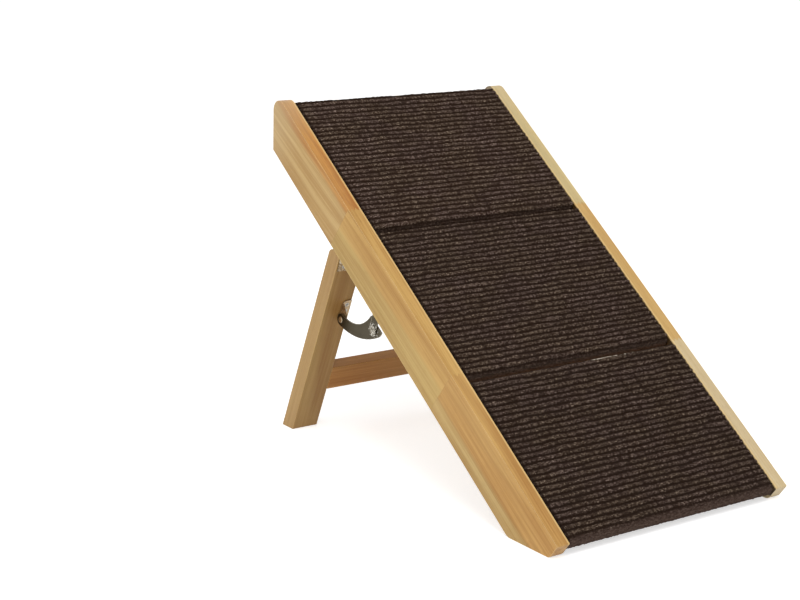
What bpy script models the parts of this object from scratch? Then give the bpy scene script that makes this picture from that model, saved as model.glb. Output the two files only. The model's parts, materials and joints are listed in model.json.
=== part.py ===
"""Folding pet ramp: two jointed wood side rails held apart by crossbars, three carpeted boards
between them, and a hinged rear leg frame held by a pair of crescent stays.

Metres, +Z up. X runs across the ramp, +Y from the low end to the high end. The origin is on the
floor, under the middle of the standing ramp.
"""
import math

import bmesh
import bpy
from mathutils import Matrix, Vector

# Clearances: between pieces that touch, and between a turning piece and its neighbour
GAP = 0.0003
RUNNING_GAP = 0.0004
ARC_STEP = math.radians(15)
FINE_STEP = math.radians(5)

# Ramp frame
RAMP_WIDTH = 0.400
RAIL_PAST_PANELS = 0.0255
SLOPE = math.radians(36.0)
FRONT_HEIGHT = 0.0187
RAIL_DEPTH = 0.070
RAIL_THICK = 0.020
RAIL_FRONT_ROUND = 0.0015
RAIL_TOE_ROUND = 0.008
RAIL_HEEL_ROUND = 0.015
RAIL_PEAK_ROUND = 0.015
WOOD_EDGE = 0.0012

# Boards and ribbed carpet
PANEL_NAMES = ("lower", "middle", "upper")
PANEL_LENGTH = 0.2535
PANEL_SPACE = 0.007
BOARD_THICK = 0.012
BOARD_NOSE_ROUND = 0.005
CARPET_PROUD = 0.002
CARPET_BACKING = 0.0035
RIB_HEIGHT = 0.0025
RIB_PITCH = 0.0084
CARPET_SIDE_SPACE = 0.001
CARPET_SEAM_SHORT = 0.002
CARPET_END_SHORT = 0.005
CARPET_TUCK = 0.014

# Crossbars between the rails
CROSSBAR_THICK = 0.020
CROSSBAR_WIDTH = 0.048
FOOT_CROSSBAR_START = 0.026
TOP_CROSSBAR_INSET = 0.0445
DOWEL_RADIUS = 0.004
DOWEL_LENGTH = 0.030
DOWEL_CHAMFER = 0.001

# Leg frame
HINGE_PAST_SEAM = 0.015
LEG_TILT = math.radians(22.2)
LEG_WIDTH = 0.042
LEG_THICK = 0.025
LEG_TOP_ROUND = 0.009
STRETCHER_HEIGHT = 0.038
STRETCHER_THICK = 0.020
STRETCHER_ABOVE_FLOOR = 0.0605

# Butt hinges
LEAF_WIDTH = 0.038
LEAF_REACH = 0.017
LEAF_THICK = 0.0012
KNUCKLE_RADIUS = 0.0026
KNUCKLE_COUNT = 5
HINGE_PIN_RADIUS = 0.0013
HINGE_PIN_CAP = 0.0007

# Wood screws
SCREW_HEAD_RADIUS = 0.0032
SCREW_HEAD_LAND = 0.0002
SCREW_SHANK_RADIUS = 0.0016
SCREW_LENGTH = 0.013
SCREW_TIP = 0.003

# Crescent stays, with the leg pivot and the rail pivot measured from the hinge axis
LEG_PIVOT_DROP = 0.096
LEG_PIVOT_AHEAD = 0.007
RAIL_PIVOT_REACH = 0.0622
RAIL_PIVOT_RISE = 0.0505
STAY_STEEL = 0.0015
STAY_FIRST_LAYER = 0.0023
ARM_LEG_END = 0.009
ARM_WIDE_END = 0.0165
ARM_WIDE_OFFSET = 0.0074
ARM_CUT_ABOVE_RIVET = 0.0105
CRESCENT_OUTER = 0.122
CRESCENT_INNER = 0.056
LINK_END = 0.0075
NOTCH_WIDTH = 0.0085
NOTCH_SPACE = 0.003
RIVET_RADIUS = 0.0025
RIVET_HEAD_RADIUS = 0.0045
RIVET_HEAD = 0.0010
ROSETTE_RADIUS = 0.0065
STUD_COLLAR_RADIUS = 0.006
STUD_LENGTH = 0.012
BRACKET_INSET = 0.0006
BRACKET_RISE = 0.0255
BRACKET_DROP = 0.0085
BRACKET_BEND = 0.0005
BRACKET_CORNER = 0.009
BRACKET_SCREW_SPREAD = 0.0105

# Sides: name and sign along X
SIDES = (("left", -1), ("right", 1))

# Worked out from the sizes above
SIN_SLOPE = math.sin(SLOPE)
COS_SLOPE = math.cos(SLOPE)
TAN_SLOPE = math.tan(SLOPE)
HALF_WIDTH = RAMP_WIDTH / 2
INSIDE_WIDTH = RAMP_WIDTH - 2 * RAIL_THICK
PANEL_PITCH = PANEL_LENGTH + PANEL_SPACE
PANELS_END = len(PANEL_NAMES) * PANEL_PITCH - PANEL_SPACE
RAMP_LENGTH = PANELS_END + RAIL_PAST_PANELS
HINGE_ALONG = 2 * PANEL_PITCH - PANEL_SPACE / 2 + HINGE_PAST_SEAM
BOARD_TOP = CARPET_BACKING + RIB_HEIGHT - CARPET_PROUD + GAP
BOARD_UNDERSIDE = BOARD_TOP + BOARD_THICK
KNUCKLE_OFFSET = KNUCKLE_RADIUS + GAP
HINGE_DEPTH = RAIL_DEPTH + KNUCKLE_OFFSET
FRONT_REACH = RAIL_FRONT_ROUND * (COS_SLOPE + SIN_SLOPE - 1)
FRONT_Y = -(RAMP_LENGTH * COS_SLOPE + FRONT_REACH) / 2
STAY_LAYER_PITCH = STAY_STEEL + GAP


def on_slope(along, depth):
    """World Y and Z of a point given along the rails' top edge and square below it."""
    y = FRONT_Y + along * COS_SLOPE + depth * SIN_SLOPE
    z = FRONT_HEIGHT + along * SIN_SLOPE - depth * COS_SLOPE
    return y, z


HINGE_Y, HINGE_Z = on_slope(HINGE_ALONG, HINGE_DEPTH)
FOLD_ANGLE = math.pi / 2 - SLOPE + LEG_TILT


def clear_scene():
    for obj in list(bpy.data.objects):
        bpy.data.objects.remove(obj, do_unlink=True)


def make_collection(name):
    collection = bpy.data.collections.new(name)
    bpy.context.scene.collection.children.link(collection)
    return collection


def make_frame(name, y, z, tilt):
    """An empty that carries pieces whose own axes are turned about X."""
    frame = bpy.data.objects.new(name, None)
    ramp_parts.objects.link(frame)
    frame.location = (0, y, z)
    frame.rotation_euler = (tilt, 0, 0)
    return frame


def finish(material, colour, roughness, metallic=0.0):
    """A plain surface finish, made once for each name."""
    found = bpy.data.materials.get(material)
    if found:
        return found
    made = bpy.data.materials.new(material)
    made.use_nodes = True
    shader = made.node_tree.nodes["Principled BSDF"]
    shader.inputs["Base Color"].default_value = (*colour, 1.0)
    shader.inputs["Roughness"].default_value = roughness
    shader.inputs["Metallic"].default_value = metallic
    return made


def rail_wood():
    return finish("rail_wood", (0.50, 0.31, 0.12), 0.45)


def leg_wood():
    return finish("leg_wood", (0.45, 0.25, 0.09), 0.45)


def board_ply():
    return finish("board_ply", (0.55, 0.42, 0.26), 0.7)


def ribbed_carpet():
    return finish("ribbed_carpet", (0.045, 0.030, 0.024), 0.95)


def plated_steel():
    return finish("plated_steel", (0.42, 0.39, 0.33), 0.28, 1.0)


def zinc_screw():
    return finish("zinc_screw", (0.55, 0.54, 0.52), 0.35, 1.0)


def beech_dowel():
    return finish("beech_dowel", (0.62, 0.44, 0.26), 0.6)


def place(obj, frame, material):
    """Puts a piece in the model, on the frame that carries it."""
    ramp_parts.objects.link(obj)
    obj.parent = frame
    obj.data.materials.clear()
    obj.data.materials.append(material)
    return obj


def keep_as_cutter(obj, frame):
    cutters.objects.link(obj)
    obj.parent = frame
    obj.hide_render = True
    obj.display_type = "WIRE"
    return obj


def combine(obj, cutter, operation="DIFFERENCE"):
    modifier = obj.modifiers.new(cutter.name, "BOOLEAN")
    modifier.operation = operation
    modifier.solver = "EXACT"
    modifier.object = cutter


def ease_edges(obj, width=WOOD_EDGE, segments=2):
    """Rounds over the sharp edges of a piece of wood."""
    bevel = obj.modifiers.new("eased_edges", "BEVEL")
    bevel.width = width
    bevel.segments = segments
    bevel.limit_method = "ANGLE"
    bevel.angle_limit = math.radians(40)


def arc(centre, radius, start, turn, step=ARC_STEP):
    """Points along a round stretch, both ends included."""
    steps = max(1, math.ceil(abs(turn) / step - 1e-6))
    angles = [start + turn * k / steps for k in range(steps + 1)]
    return [Vector((centre[0] + radius * math.cos(a), centre[1] + radius * math.sin(a))) for a in angles]


def bearing(start, end):
    return math.atan2(end[1] - start[1], end[0] - start[0])


def shortest_turn(start, end):
    return (end - start + math.pi) % (2 * math.pi) - math.pi


def rounded(corners):
    """An outline from corners given as (u, v, radius)."""
    points = []
    for i, (u, v, radius) in enumerate(corners):
        here = Vector((u, v))
        if radius == 0:
            points.append(here)
            continue
        back = (Vector(corners[i - 1][:2]) - here).normalized()
        ahead = (Vector(corners[(i + 1) % len(corners)][:2]) - here).normalized()
        half = back.angle(ahead) / 2
        centre = here + (back + ahead).normalized() * (radius / math.sin(half))
        reach = radius / math.tan(half)
        start = bearing(centre, here + back * reach)
        end = bearing(centre, here + ahead * reach)
        points += arc(centre, radius, start, shortest_turn(start, end))
    return points


# Where a flat outline's two axes and its thickness point, as columns of a matrix
ACROSS_X = Matrix(((0, 0, 1, 0), (1, 0, 0, 0), (0, 1, 0, 0), (0, 0, 0, 1)))
ACROSS_Y = Matrix(((1, 0, 0, 0), (0, 0, -1, 0), (0, 1, 0, 0), (0, 0, 0, 1)))


def plate(name, outline, thick, turn=ACROSS_X, middle=(0, 0, 0)):
    """A flat outline given thickness, as a mesh whose middle plane passes through a point."""
    curve = bpy.data.curves.new(name, "CURVE")
    curve.dimensions = "2D"
    curve.fill_mode = "BOTH"
    curve.extrude = thick / 2
    spline = curve.splines.new("POLY")
    spline.points.add(len(outline) - 1)
    for point, (u, v) in zip(spline.points, outline):
        point.co = (u, v, 0, 1)
    spline.use_cyclic_u = True
    drawn = bpy.data.objects.new(name + "_outline", curve)
    bpy.context.scene.collection.objects.link(drawn)
    bpy.context.view_layer.update()
    evaluated = drawn.evaluated_get(bpy.context.evaluated_depsgraph_get())
    mesh = bpy.data.meshes.new_from_object(evaluated)
    bpy.data.objects.remove(drawn, do_unlink=True)
    bpy.data.curves.remove(curve)
    mesh.name = name
    mesh.transform(Matrix.Translation(middle) @ turn)
    close_mesh(mesh)
    return bpy.data.objects.new(name, mesh)


def close_mesh(mesh):
    """Welds the loose caps and turns every face outwards."""
    shell = bmesh.new()
    shell.from_mesh(mesh)
    bmesh.ops.remove_doubles(shell, verts=shell.verts, dist=1e-6)
    bmesh.ops.recalc_face_normals(shell, faces=shell.faces)
    shell.to_mesh(mesh)
    shell.free()


def block(name, low, high):
    """A box between two corners."""
    shell = bmesh.new()
    bmesh.ops.create_cube(shell, size=1.0)
    size = [h - l for l, h in zip(low, high)]
    centre = [(h + l) / 2 for l, h in zip(low, high)]
    bmesh.ops.scale(shell, vec=size, verts=shell.verts)
    bmesh.ops.translate(shell, vec=centre, verts=shell.verts)
    mesh = bpy.data.meshes.new(name)
    shell.to_mesh(mesh)
    shell.free()
    return bpy.data.objects.new(name, mesh)


def turned(name, profile, steps=16):
    """A turned piece about its own Z, from (radius, height) points read from the top down."""
    mesh = bpy.data.meshes.new(name)
    points = [(radius, 0, height) for radius, height in profile]
    mesh.from_pydata(points, [(k, k + 1) for k in range(len(points) - 1)], [])
    obj = bpy.data.objects.new(name, mesh)
    screw = obj.modifiers.new("turned", "SCREW")
    screw.axis = "Z"
    screw.steps = steps
    screw.render_steps = steps
    screw.use_merge_vertices = True
    screw.merge_threshold = 1e-6
    screw.use_smooth_shade = False
    return obj


def stand(obj, location, towards):
    """Points a turned piece's own +Z along a direction of its frame."""
    obj.location = location
    obj.rotation_mode = "QUATERNION"
    obj.rotation_quaternion = Vector((0, 0, 1)).rotation_difference(Vector(towards))
    return obj


def cylinder_profile(radius, low, high):
    return [(0, high), (radius, high), (radius, low), (0, low)]


def screw_profile(extra=0.0):
    """A countersunk screw seated with its head flush at height 0; extra widens it into its hole."""
    head = SCREW_HEAD_RADIUS + extra
    shank = SCREW_SHANK_RADIUS + extra
    neck = -SCREW_HEAD_LAND - (head - shank)
    end = -SCREW_LENGTH - extra
    return [(0, extra), (head, extra), (head, -SCREW_HEAD_LAND), (shank, neck),
            (shank, end + SCREW_TIP), (0, end)]


def add_screw(name, location, towards, frame, holders):
    """Seats one screw and cuts its hole through each piece that it passes."""
    screw = place(turned(name, screw_profile()), frame, zinc_screw())
    stand(screw, location, towards)
    hole = keep_as_cutter(turned(name + "_hole", screw_profile(GAP)), frame)
    stand(hole, location, towards)
    for holder in holders:
        combine(holder, hole)


def add_dowel(name, location, frame, holders):
    """A blind dowel along X, half in each of the two pieces that it joins."""
    half = DOWEL_LENGTH / 2
    profile = [(0, half), (DOWEL_RADIUS - DOWEL_CHAMFER, half), (DOWEL_RADIUS, half - DOWEL_CHAMFER),
               (DOWEL_RADIUS, DOWEL_CHAMFER - half), (DOWEL_RADIUS - DOWEL_CHAMFER, -half), (0, -half)]
    stand(place(turned(name, profile), frame, beech_dowel()), location, (1, 0, 0))
    drilled = cylinder_profile(DOWEL_RADIUS + GAP, -half - GAP, half + GAP)
    hole = keep_as_cutter(turned(name + "_hole", drilled), frame)
    stand(hole, location, (1, 0, 0))
    for holder in holders:
        combine(holder, hole)


def side_rails():
    """The two side boards: square front end, flat foot, and a high end cut plumb."""
    toe_depth = FRONT_HEIGHT / COS_SLOPE
    heel_along = (RAIL_DEPTH * COS_SLOPE - FRONT_HEIGHT) / SIN_SLOPE
    plumb_along = RAMP_LENGTH - RAIL_DEPTH * TAN_SLOPE
    outline = rounded([(0, 0, RAIL_FRONT_ROUND), (0, -toe_depth, RAIL_TOE_ROUND),
                       (heel_along, -RAIL_DEPTH, RAIL_HEEL_ROUND), (plumb_along, -RAIL_DEPTH, 0),
                       (RAMP_LENGTH, 0, RAIL_PEAK_ROUND)])
    rails = {}
    for side, sign in SIDES:
        middle = (sign * (HALF_WIDTH - RAIL_THICK / 2), 0, 0)
        rail = place(plate(side + "_side_rail", outline, RAIL_THICK, middle=middle), slope, rail_wood())
        ease_edges(rail)
        rails[side] = rail
    return rails


def add_crossbar(name, low_along, high_along, low_depth, high_depth, rails):
    """A bar between the rails with one dowel in each end."""
    half = INSIDE_WIDTH / 2 - GAP
    bar = block(name, (-half, low_along, -high_depth), (half, high_along, -low_depth))
    place(bar, slope, rail_wood())
    ease_edges(bar)
    along = (low_along + high_along) / 2
    depth = (low_depth + high_depth) / 2
    for side, sign in SIDES:
        location = (sign * INSIDE_WIDTH / 2, along, -depth)
        add_dowel(f"{name.replace('crossbar', 'dowel')}_{side}", location, slope, (bar, rails[side]))
    return bar


def crossbars(rails):
    """Five bars: one under each end of the row of boards, one under each seam, one for the hinges."""
    top = BOARD_UNDERSIDE + GAP
    flat = top + CROSSBAR_THICK
    foot_start = FOOT_CROSSBAR_START
    add_crossbar("foot_crossbar", foot_start, foot_start + CROSSBAR_WIDTH, top, flat, rails)
    for k, name in ((1, "lower_seam_crossbar"), (2, "upper_seam_crossbar")):
        seam = k * PANEL_PITCH - PANEL_SPACE / 2
        add_crossbar(name, seam - CROSSBAR_WIDTH / 2, seam + CROSSBAR_WIDTH / 2, top, flat, rails)
    top_start = PANELS_END - TOP_CROSSBAR_INSET
    add_crossbar("top_crossbar", top_start, top_start + CROSSBAR_THICK, top, top + CROSSBAR_WIDTH, rails)
    leg_shadow = LEG_THICK / math.sin(FOLD_ANGLE)
    high = HINGE_ALONG + leg_shadow
    low = high - CROSSBAR_WIDTH
    return add_crossbar("hinge_crossbar", low, high, RAIL_DEPTH - CROSSBAR_THICK, RAIL_DEPTH, rails)


def boards():
    """Three boards set down between the rails by the thickness of their carpet."""
    half = INSIDE_WIDTH / 2 - CARPET_SIDE_SPACE
    skin = CARPET_BACKING + RIB_HEIGHT + GAP
    for k, panel in enumerate(PANEL_NAMES):
        low = k * PANEL_PITCH + skin
        high = k * PANEL_PITCH + PANEL_LENGTH
        under_round = BOARD_NOSE_ROUND if k == 0 else 0
        outline = rounded([(low, -BOARD_TOP, BOARD_NOSE_ROUND), (low, -BOARD_UNDERSIDE, under_round),
                           (high, -BOARD_UNDERSIDE, 0), (high, -BOARD_TOP, 0)])
        board = place(plate(panel + "_board", outline, 2 * half), slope, board_ply())
        if panel == "middle":
            notch_for_stays(board, half)


def notch_for_stays(board, half):
    """Two notches in a board's sides leave room for the folded stays."""
    rail_pivot = HINGE_ALONG - RAIL_PIVOT_REACH
    low = rail_pivot - LEG_PIVOT_DROP - ARM_WIDE_END - NOTCH_SPACE
    high = rail_pivot + LINK_END + NOTCH_SPACE
    for side, sign in SIDES:
        x = sorted((sign * (half + NOTCH_WIDTH), sign * (INSIDE_WIDTH / 2 - NOTCH_WIDTH)))
        notch = block(side + "_board_notch", (x[0], low, -BOARD_UNDERSIDE - GAP), (x[1], high, -BOARD_TOP + GAP))
        combine(board, keep_as_cutter(notch, slope))


def carpet_spine(low, high, tucked):
    """Stretches of the line that a carpet wraps about, from its high cut end: from, to, facing, turn."""
    nose = Vector((low + RIB_HEIGHT + CARPET_BACKING + GAP + BOARD_NOSE_ROUND, -BOARD_TOP - BOARD_NOSE_ROUND))
    top = Vector((high, nose.y))
    quarter = math.pi / 2
    spine = [(top, nose, quarter, 0), (nose, nose, quarter, quarter)]
    if not tucked:
        return spine + [(nose, Vector((nose.x, -BOARD_UNDERSIDE)), math.pi, 0)]
    under = Vector((nose.x, -BOARD_UNDERSIDE + BOARD_NOSE_ROUND))
    end = under + Vector((CARPET_TUCK, 0))
    return spine + [(nose, under, math.pi, 0), (under, under, math.pi, quarter), (under, end, 3 * quarter, 0)]


def spine_length(spine, radius):
    return sum((end - start).length + turn * radius for start, end, facing, turn in spine)


def off_spine(spine, radius, run, reach):
    """The point at a distance from the spine, a given run along the face of the given radius."""
    for start, end, facing, turn in spine:
        length = (end - start).length + turn * radius
        if run <= length:
            break
        run -= length
    share = min(run / length, 1)
    angle = facing + turn * share
    return start.lerp(end, share) + reach * Vector((math.cos(angle), math.sin(angle)))


def carpet_outline(low, high, tucked):
    """A carpet's section: a ribbed outer face and a plain back, wrapped over the board's nose."""
    spine = carpet_spine(low, high, tucked)
    back = BOARD_NOSE_ROUND + GAP
    face = back + CARPET_BACKING
    length = spine_length(spine, face)
    steps = 4 * round(length / RIB_PITCH)
    ribbed = []
    for k in range(steps + 1):
        wave = abs(math.sin(math.pi * k / 4))
        ribbed.append(off_spine(spine, face, length * k / steps, face + RIB_HEIGHT * wave))
    plain = []
    for start, end, facing, turn in spine:
        if turn:
            plain += arc(start, back, facing, turn)
    last_start, last_end, facing, turn = spine[-1]
    tip = back * Vector((math.cos(facing), math.sin(facing)))
    plain = [spine[0][0] + Vector((0, back))] + plain + [last_end + tip]
    return ribbed + plain[::-1]


def carpets():
    """Ribbed carpet over each board; the lowest one is also tucked in under its board's low edge."""
    width = INSIDE_WIDTH - 2 * CARPET_SIDE_SPACE
    for k, panel in enumerate(PANEL_NAMES):
        low = k * PANEL_PITCH
        short = CARPET_END_SHORT if panel == PANEL_NAMES[-1] else CARPET_SEAM_SHORT
        outline = carpet_outline(low, low + PANEL_LENGTH - short, k == 0)
        place(plate(panel + "_carpet", outline, width), slope, ribbed_carpet())


def leg_point_height(behind_axis, floor_height):
    """Height in the leg's own frame of a point behind the hinge axis at a height off the floor."""
    return (floor_height - HINGE_Z - behind_axis * math.sin(LEG_TILT)) / math.cos(LEG_TILT)


def leg_frame_wood():
    """Two legs that stop against the rails' undersides, and the stretcher between them."""
    front = KNUCKLE_OFFSET
    rear = front + LEG_THICK
    lean = SLOPE - LEG_TILT
    top_front, top_rear = ((front - GAP + y * math.sin(lean)) / math.cos(lean) for y in (front, rear))
    outline = rounded([(front, leg_point_height(front, 0), 0), (rear, leg_point_height(rear, 0), 0),
                       (rear, top_rear, LEG_TOP_ROUND), (front, top_front, 0)])
    low = leg_point_height(front, STRETCHER_ABOVE_FLOOR)
    half = HALF_WIDTH - LEG_WIDTH - GAP
    stretcher = block("leg_stretcher", (-half, front, low),
                      (half, front + STRETCHER_THICK, low + STRETCHER_HEIGHT))
    place(stretcher, leg_axis, leg_wood())
    ease_edges(stretcher)
    legs = {}
    for side, sign in SIDES:
        middle = (sign * (HALF_WIDTH - LEG_WIDTH / 2), 0, 0)
        leg = place(plate(side + "_leg", outline, LEG_WIDTH, middle=middle), leg_axis, leg_wood())
        ease_edges(leg)
        legs[side] = leg
        location = (sign * (HALF_WIDTH - LEG_WIDTH), front + STRETCHER_THICK / 2, low + STRETCHER_HEIGHT / 2)
        add_dowel("stretcher_dowel_" + side, location, leg_axis, (stretcher, leg))
    return legs


def leaf_outline():
    """Section of a hinge leaf and its knuckle: first axis away from the pin, second to the wood."""
    wood_face = KNUCKLE_RADIUS
    open_face = KNUCKLE_RADIUS - LEAF_THICK
    turn = 3 * math.pi / 2 + math.asin(open_face / KNUCKLE_RADIUS)
    knuckle = arc((0, 0), KNUCKLE_RADIUS, math.pi / 2, turn)
    return [Vector((LEAF_REACH, wood_face))] + knuckle + [Vector((LEAF_REACH, open_face))]


def knuckle_slot(name, index, across, frame, centre):
    """Clears one knuckle's width out of a leaf, for the other leaf's knuckle."""
    pitch = LEAF_WIDTH / KNUCKLE_COUNT
    low = index * pitch - LEAF_WIDTH / 2 - (KNUCKLE_RADIUS if index == 0 else RUNNING_GAP)
    high = (index + 1) * pitch - LEAF_WIDTH / 2
    high += KNUCKLE_RADIUS if index == KNUCKLE_COUNT - 1 else RUNNING_GAP
    room = KNUCKLE_RADIUS + RUNNING_GAP
    cutter = block(name, (across + low, centre[0] - room, centre[1] - room),
                   (across + high, centre[0] + room, centre[1] + room))
    return keep_as_cutter(cutter, frame)


def add_leaf(name, across, frame, centre, facing, own_knuckles):
    """One leaf; facing maps its section's two axes to the frame's Y and Z."""
    outline = [(centre[0] + u * facing[0][0] + v * facing[1][0],
                centre[1] + u * facing[0][1] + v * facing[1][1]) for u, v in leaf_outline()]
    leaf = place(plate(name, outline, LEAF_WIDTH, middle=(across, 0, 0)), frame, plated_steel())
    for index in range(KNUCKLE_COUNT):
        if index % 2 != own_knuckles:
            combine(leaf, knuckle_slot(f"{name}_slot_{index}", index, across, frame, centre))
    reach = LEAF_WIDTH / 2 + KNUCKLE_RADIUS
    bore = turned(name + "_bore", cylinder_profile(HINGE_PIN_RADIUS + RUNNING_GAP, -reach, reach))
    stand(keep_as_cutter(bore, frame), (across, *centre), (1, 0, 0))
    combine(leaf, bore)
    return leaf


def hinges(rails, hinge_crossbar, legs):
    """A butt hinge at the head of each leg: one leaf under the ramp, one on the leg's front face."""
    centre = (HINGE_ALONG, -HINGE_DEPTH)
    screw_reach = (LEAF_REACH + KNUCKLE_RADIUS) / 2
    open_face = KNUCKLE_RADIUS - LEAF_THICK
    half = LEAF_WIDTH / 2
    for side, sign in SIDES:
        across = sign * (HALF_WIDTH - LEG_WIDTH / 2)
        frame_leaf = add_leaf(side + "_frame_leaf", across, slope, centre, ((-1, 0), (0, 1)), 0)
        leg_leaf = add_leaf(side + "_leg_leaf", across, leg_axis, (0, 0), ((0, -1), (1, 0)), 1)
        for number, shift, wood in ((1, 1, rails[side]), (2, -1, hinge_crossbar)):
            x = across + shift * sign * LEAF_WIDTH / 4
            location = (x, HINGE_ALONG - screw_reach, open_face - HINGE_DEPTH)
            add_screw(f"{side}_frame_screw_{number}", location, (0, 0, -1), slope, (frame_leaf, wood))
            location = (x, open_face, -screw_reach)
            add_screw(f"{side}_leg_screw_{number}", location, (0, -1, 0), leg_axis, (leg_leaf, legs[side]))
        cap = KNUCKLE_RADIUS - GAP
        inner, outer = half + GAP, half + GAP + HINGE_PIN_CAP
        pin_profile = [(0, outer), (cap, outer), (cap, inner), (HINGE_PIN_RADIUS, inner),
                       (HINGE_PIN_RADIUS, -inner), (cap, -inner), (cap, -outer), (0, -outer)]
        pin = place(turned(side + "_hinge_pin", pin_profile), slope, plated_steel())
        stand(pin, (across, *centre), (1, 0, 0))


def circle_meeting(first, first_radius, second, second_radius):
    """The meeting point of two circles on the left of the way from the first to the second."""
    across = second - first
    gap = across.length
    along = (first_radius ** 2 - second_radius ** 2 + gap ** 2) / (2 * gap)
    aside = math.sqrt(first_radius ** 2 - along ** 2)
    return first + across.normalized() * along + Vector((-across.y, across.x)).normalized() * aside


def crescent_outline(first, first_radius, second, second_radius):
    """A narrow and a wide round end joined by an outer and an inner arc, both tangent to them."""
    outer = circle_meeting(second, CRESCENT_OUTER - second_radius, first, CRESCENT_OUTER - first_radius)
    inner = circle_meeting(second, CRESCENT_INNER + second_radius, first, CRESCENT_INNER + first_radius)
    outer_start, outer_end = bearing(outer, first), bearing(outer, second)
    inner_start, inner_end = bearing(inner, second), bearing(inner, first)
    points = arc(outer, CRESCENT_OUTER, outer_start, shortest_turn(outer_start, outer_end), FINE_STEP)
    end_start, end_stop = outer_end, bearing(second, inner)
    points += arc(second, second_radius, end_start, -((end_start - end_stop) % (2 * math.pi)))[1:]
    inner_turn = shortest_turn(inner_start, inner_end)
    points += arc(inner, CRESCENT_INNER, inner_start, inner_turn, FINE_STEP)[1:]
    end_start, end_stop = bearing(first, inner), outer_start
    points += arc(first, first_radius, end_start, -((end_start - end_stop) % (2 * math.pi)))[1:-1]
    return points


def link_outline(first, second, radius):
    """A straight link with a round end about each pivot."""
    ahead = bearing(first, second)
    side = ahead + math.pi / 2
    return arc(first, radius, side, math.pi) + arc(second, radius, side + math.pi, math.pi)


def stay_layer(sign, layer):
    """X of the middle of a stay layer, counted inwards from the rail's inner face."""
    inwards = STAY_FIRST_LAYER + STAY_STEEL / 2 + layer * STAY_LAYER_PITCH
    return sign * (INSIDE_WIDTH / 2 - inwards)


def stay_pivots():
    """World Y and Z of the leg pivot, the rail pivot and the middle rivet of a stay."""
    hinge = Vector((HINGE_Y, HINGE_Z))
    down_leg = Vector((math.sin(LEG_TILT), -math.cos(LEG_TILT)))
    ahead = Vector((-math.cos(LEG_TILT), -math.sin(LEG_TILT)))
    up_slope = Vector((COS_SLOPE, SIN_SLOPE))
    square_up = Vector((-SIN_SLOPE, COS_SLOPE))
    leg_pivot = hinge + LEG_PIVOT_DROP * down_leg + LEG_PIVOT_AHEAD * ahead
    rail_pivot = hinge - RAIL_PIVOT_REACH * up_slope + RAIL_PIVOT_RISE * square_up
    return leg_pivot, rail_pivot, rail_pivot + leg_pivot - hinge


def crescent_arm(side, x, leg_pivot, middle_pivot):
    """The crescent, its wide end cut off parallel to the rail so that it folds in under the carpet."""
    square_up = Vector((-SIN_SLOPE, COS_SLOPE))
    wide = middle_pivot + ARM_WIDE_OFFSET * square_up
    outline = crescent_outline(Vector((0, 0)), ARM_LEG_END, wide - leg_pivot, ARM_WIDE_END)
    arm = place(plate(side + "_crescent_arm", outline, STAY_STEEL), None, plated_steel())
    arm.location = (x, *leg_pivot)
    reach = 2 * ARM_WIDE_END
    cutter = block(side + "_arm_trim", (-reach, -reach, 0), (reach, reach, reach))
    cut_at = middle_pivot + ARM_CUT_ABOVE_RIVET * square_up
    keep_as_cutter(cutter, None).location = (x, *cut_at)
    cutter.rotation_euler = (SLOPE, 0, 0)
    combine(arm, cutter)
    return arm


def drill(obj, name, x, pivot, radius):
    bore = turned(name, cylinder_profile(radius, -STAY_STEEL * 2, STAY_STEEL * 2))
    stand(keep_as_cutter(bore, None), (x, *pivot), (1, 0, 0))
    combine(obj, bore)


def rivet_profile(grip, first_head, second_head):
    """A rivet along its own Z: a head at each end of the grip, the first below it."""
    low, high = -grip / 2 - GAP, grip / 2 + GAP
    return [(0, high + RIVET_HEAD), (second_head - RIVET_HEAD / 2, high + RIVET_HEAD),
            (second_head, high + RIVET_HEAD / 2), (second_head, high), (RIVET_RADIUS, high),
            (RIVET_RADIUS, low), (first_head, low), (first_head, low - RIVET_HEAD / 2),
            (first_head - RIVET_HEAD / 2, low - RIVET_HEAD), (0, low - RIVET_HEAD)]


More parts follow.
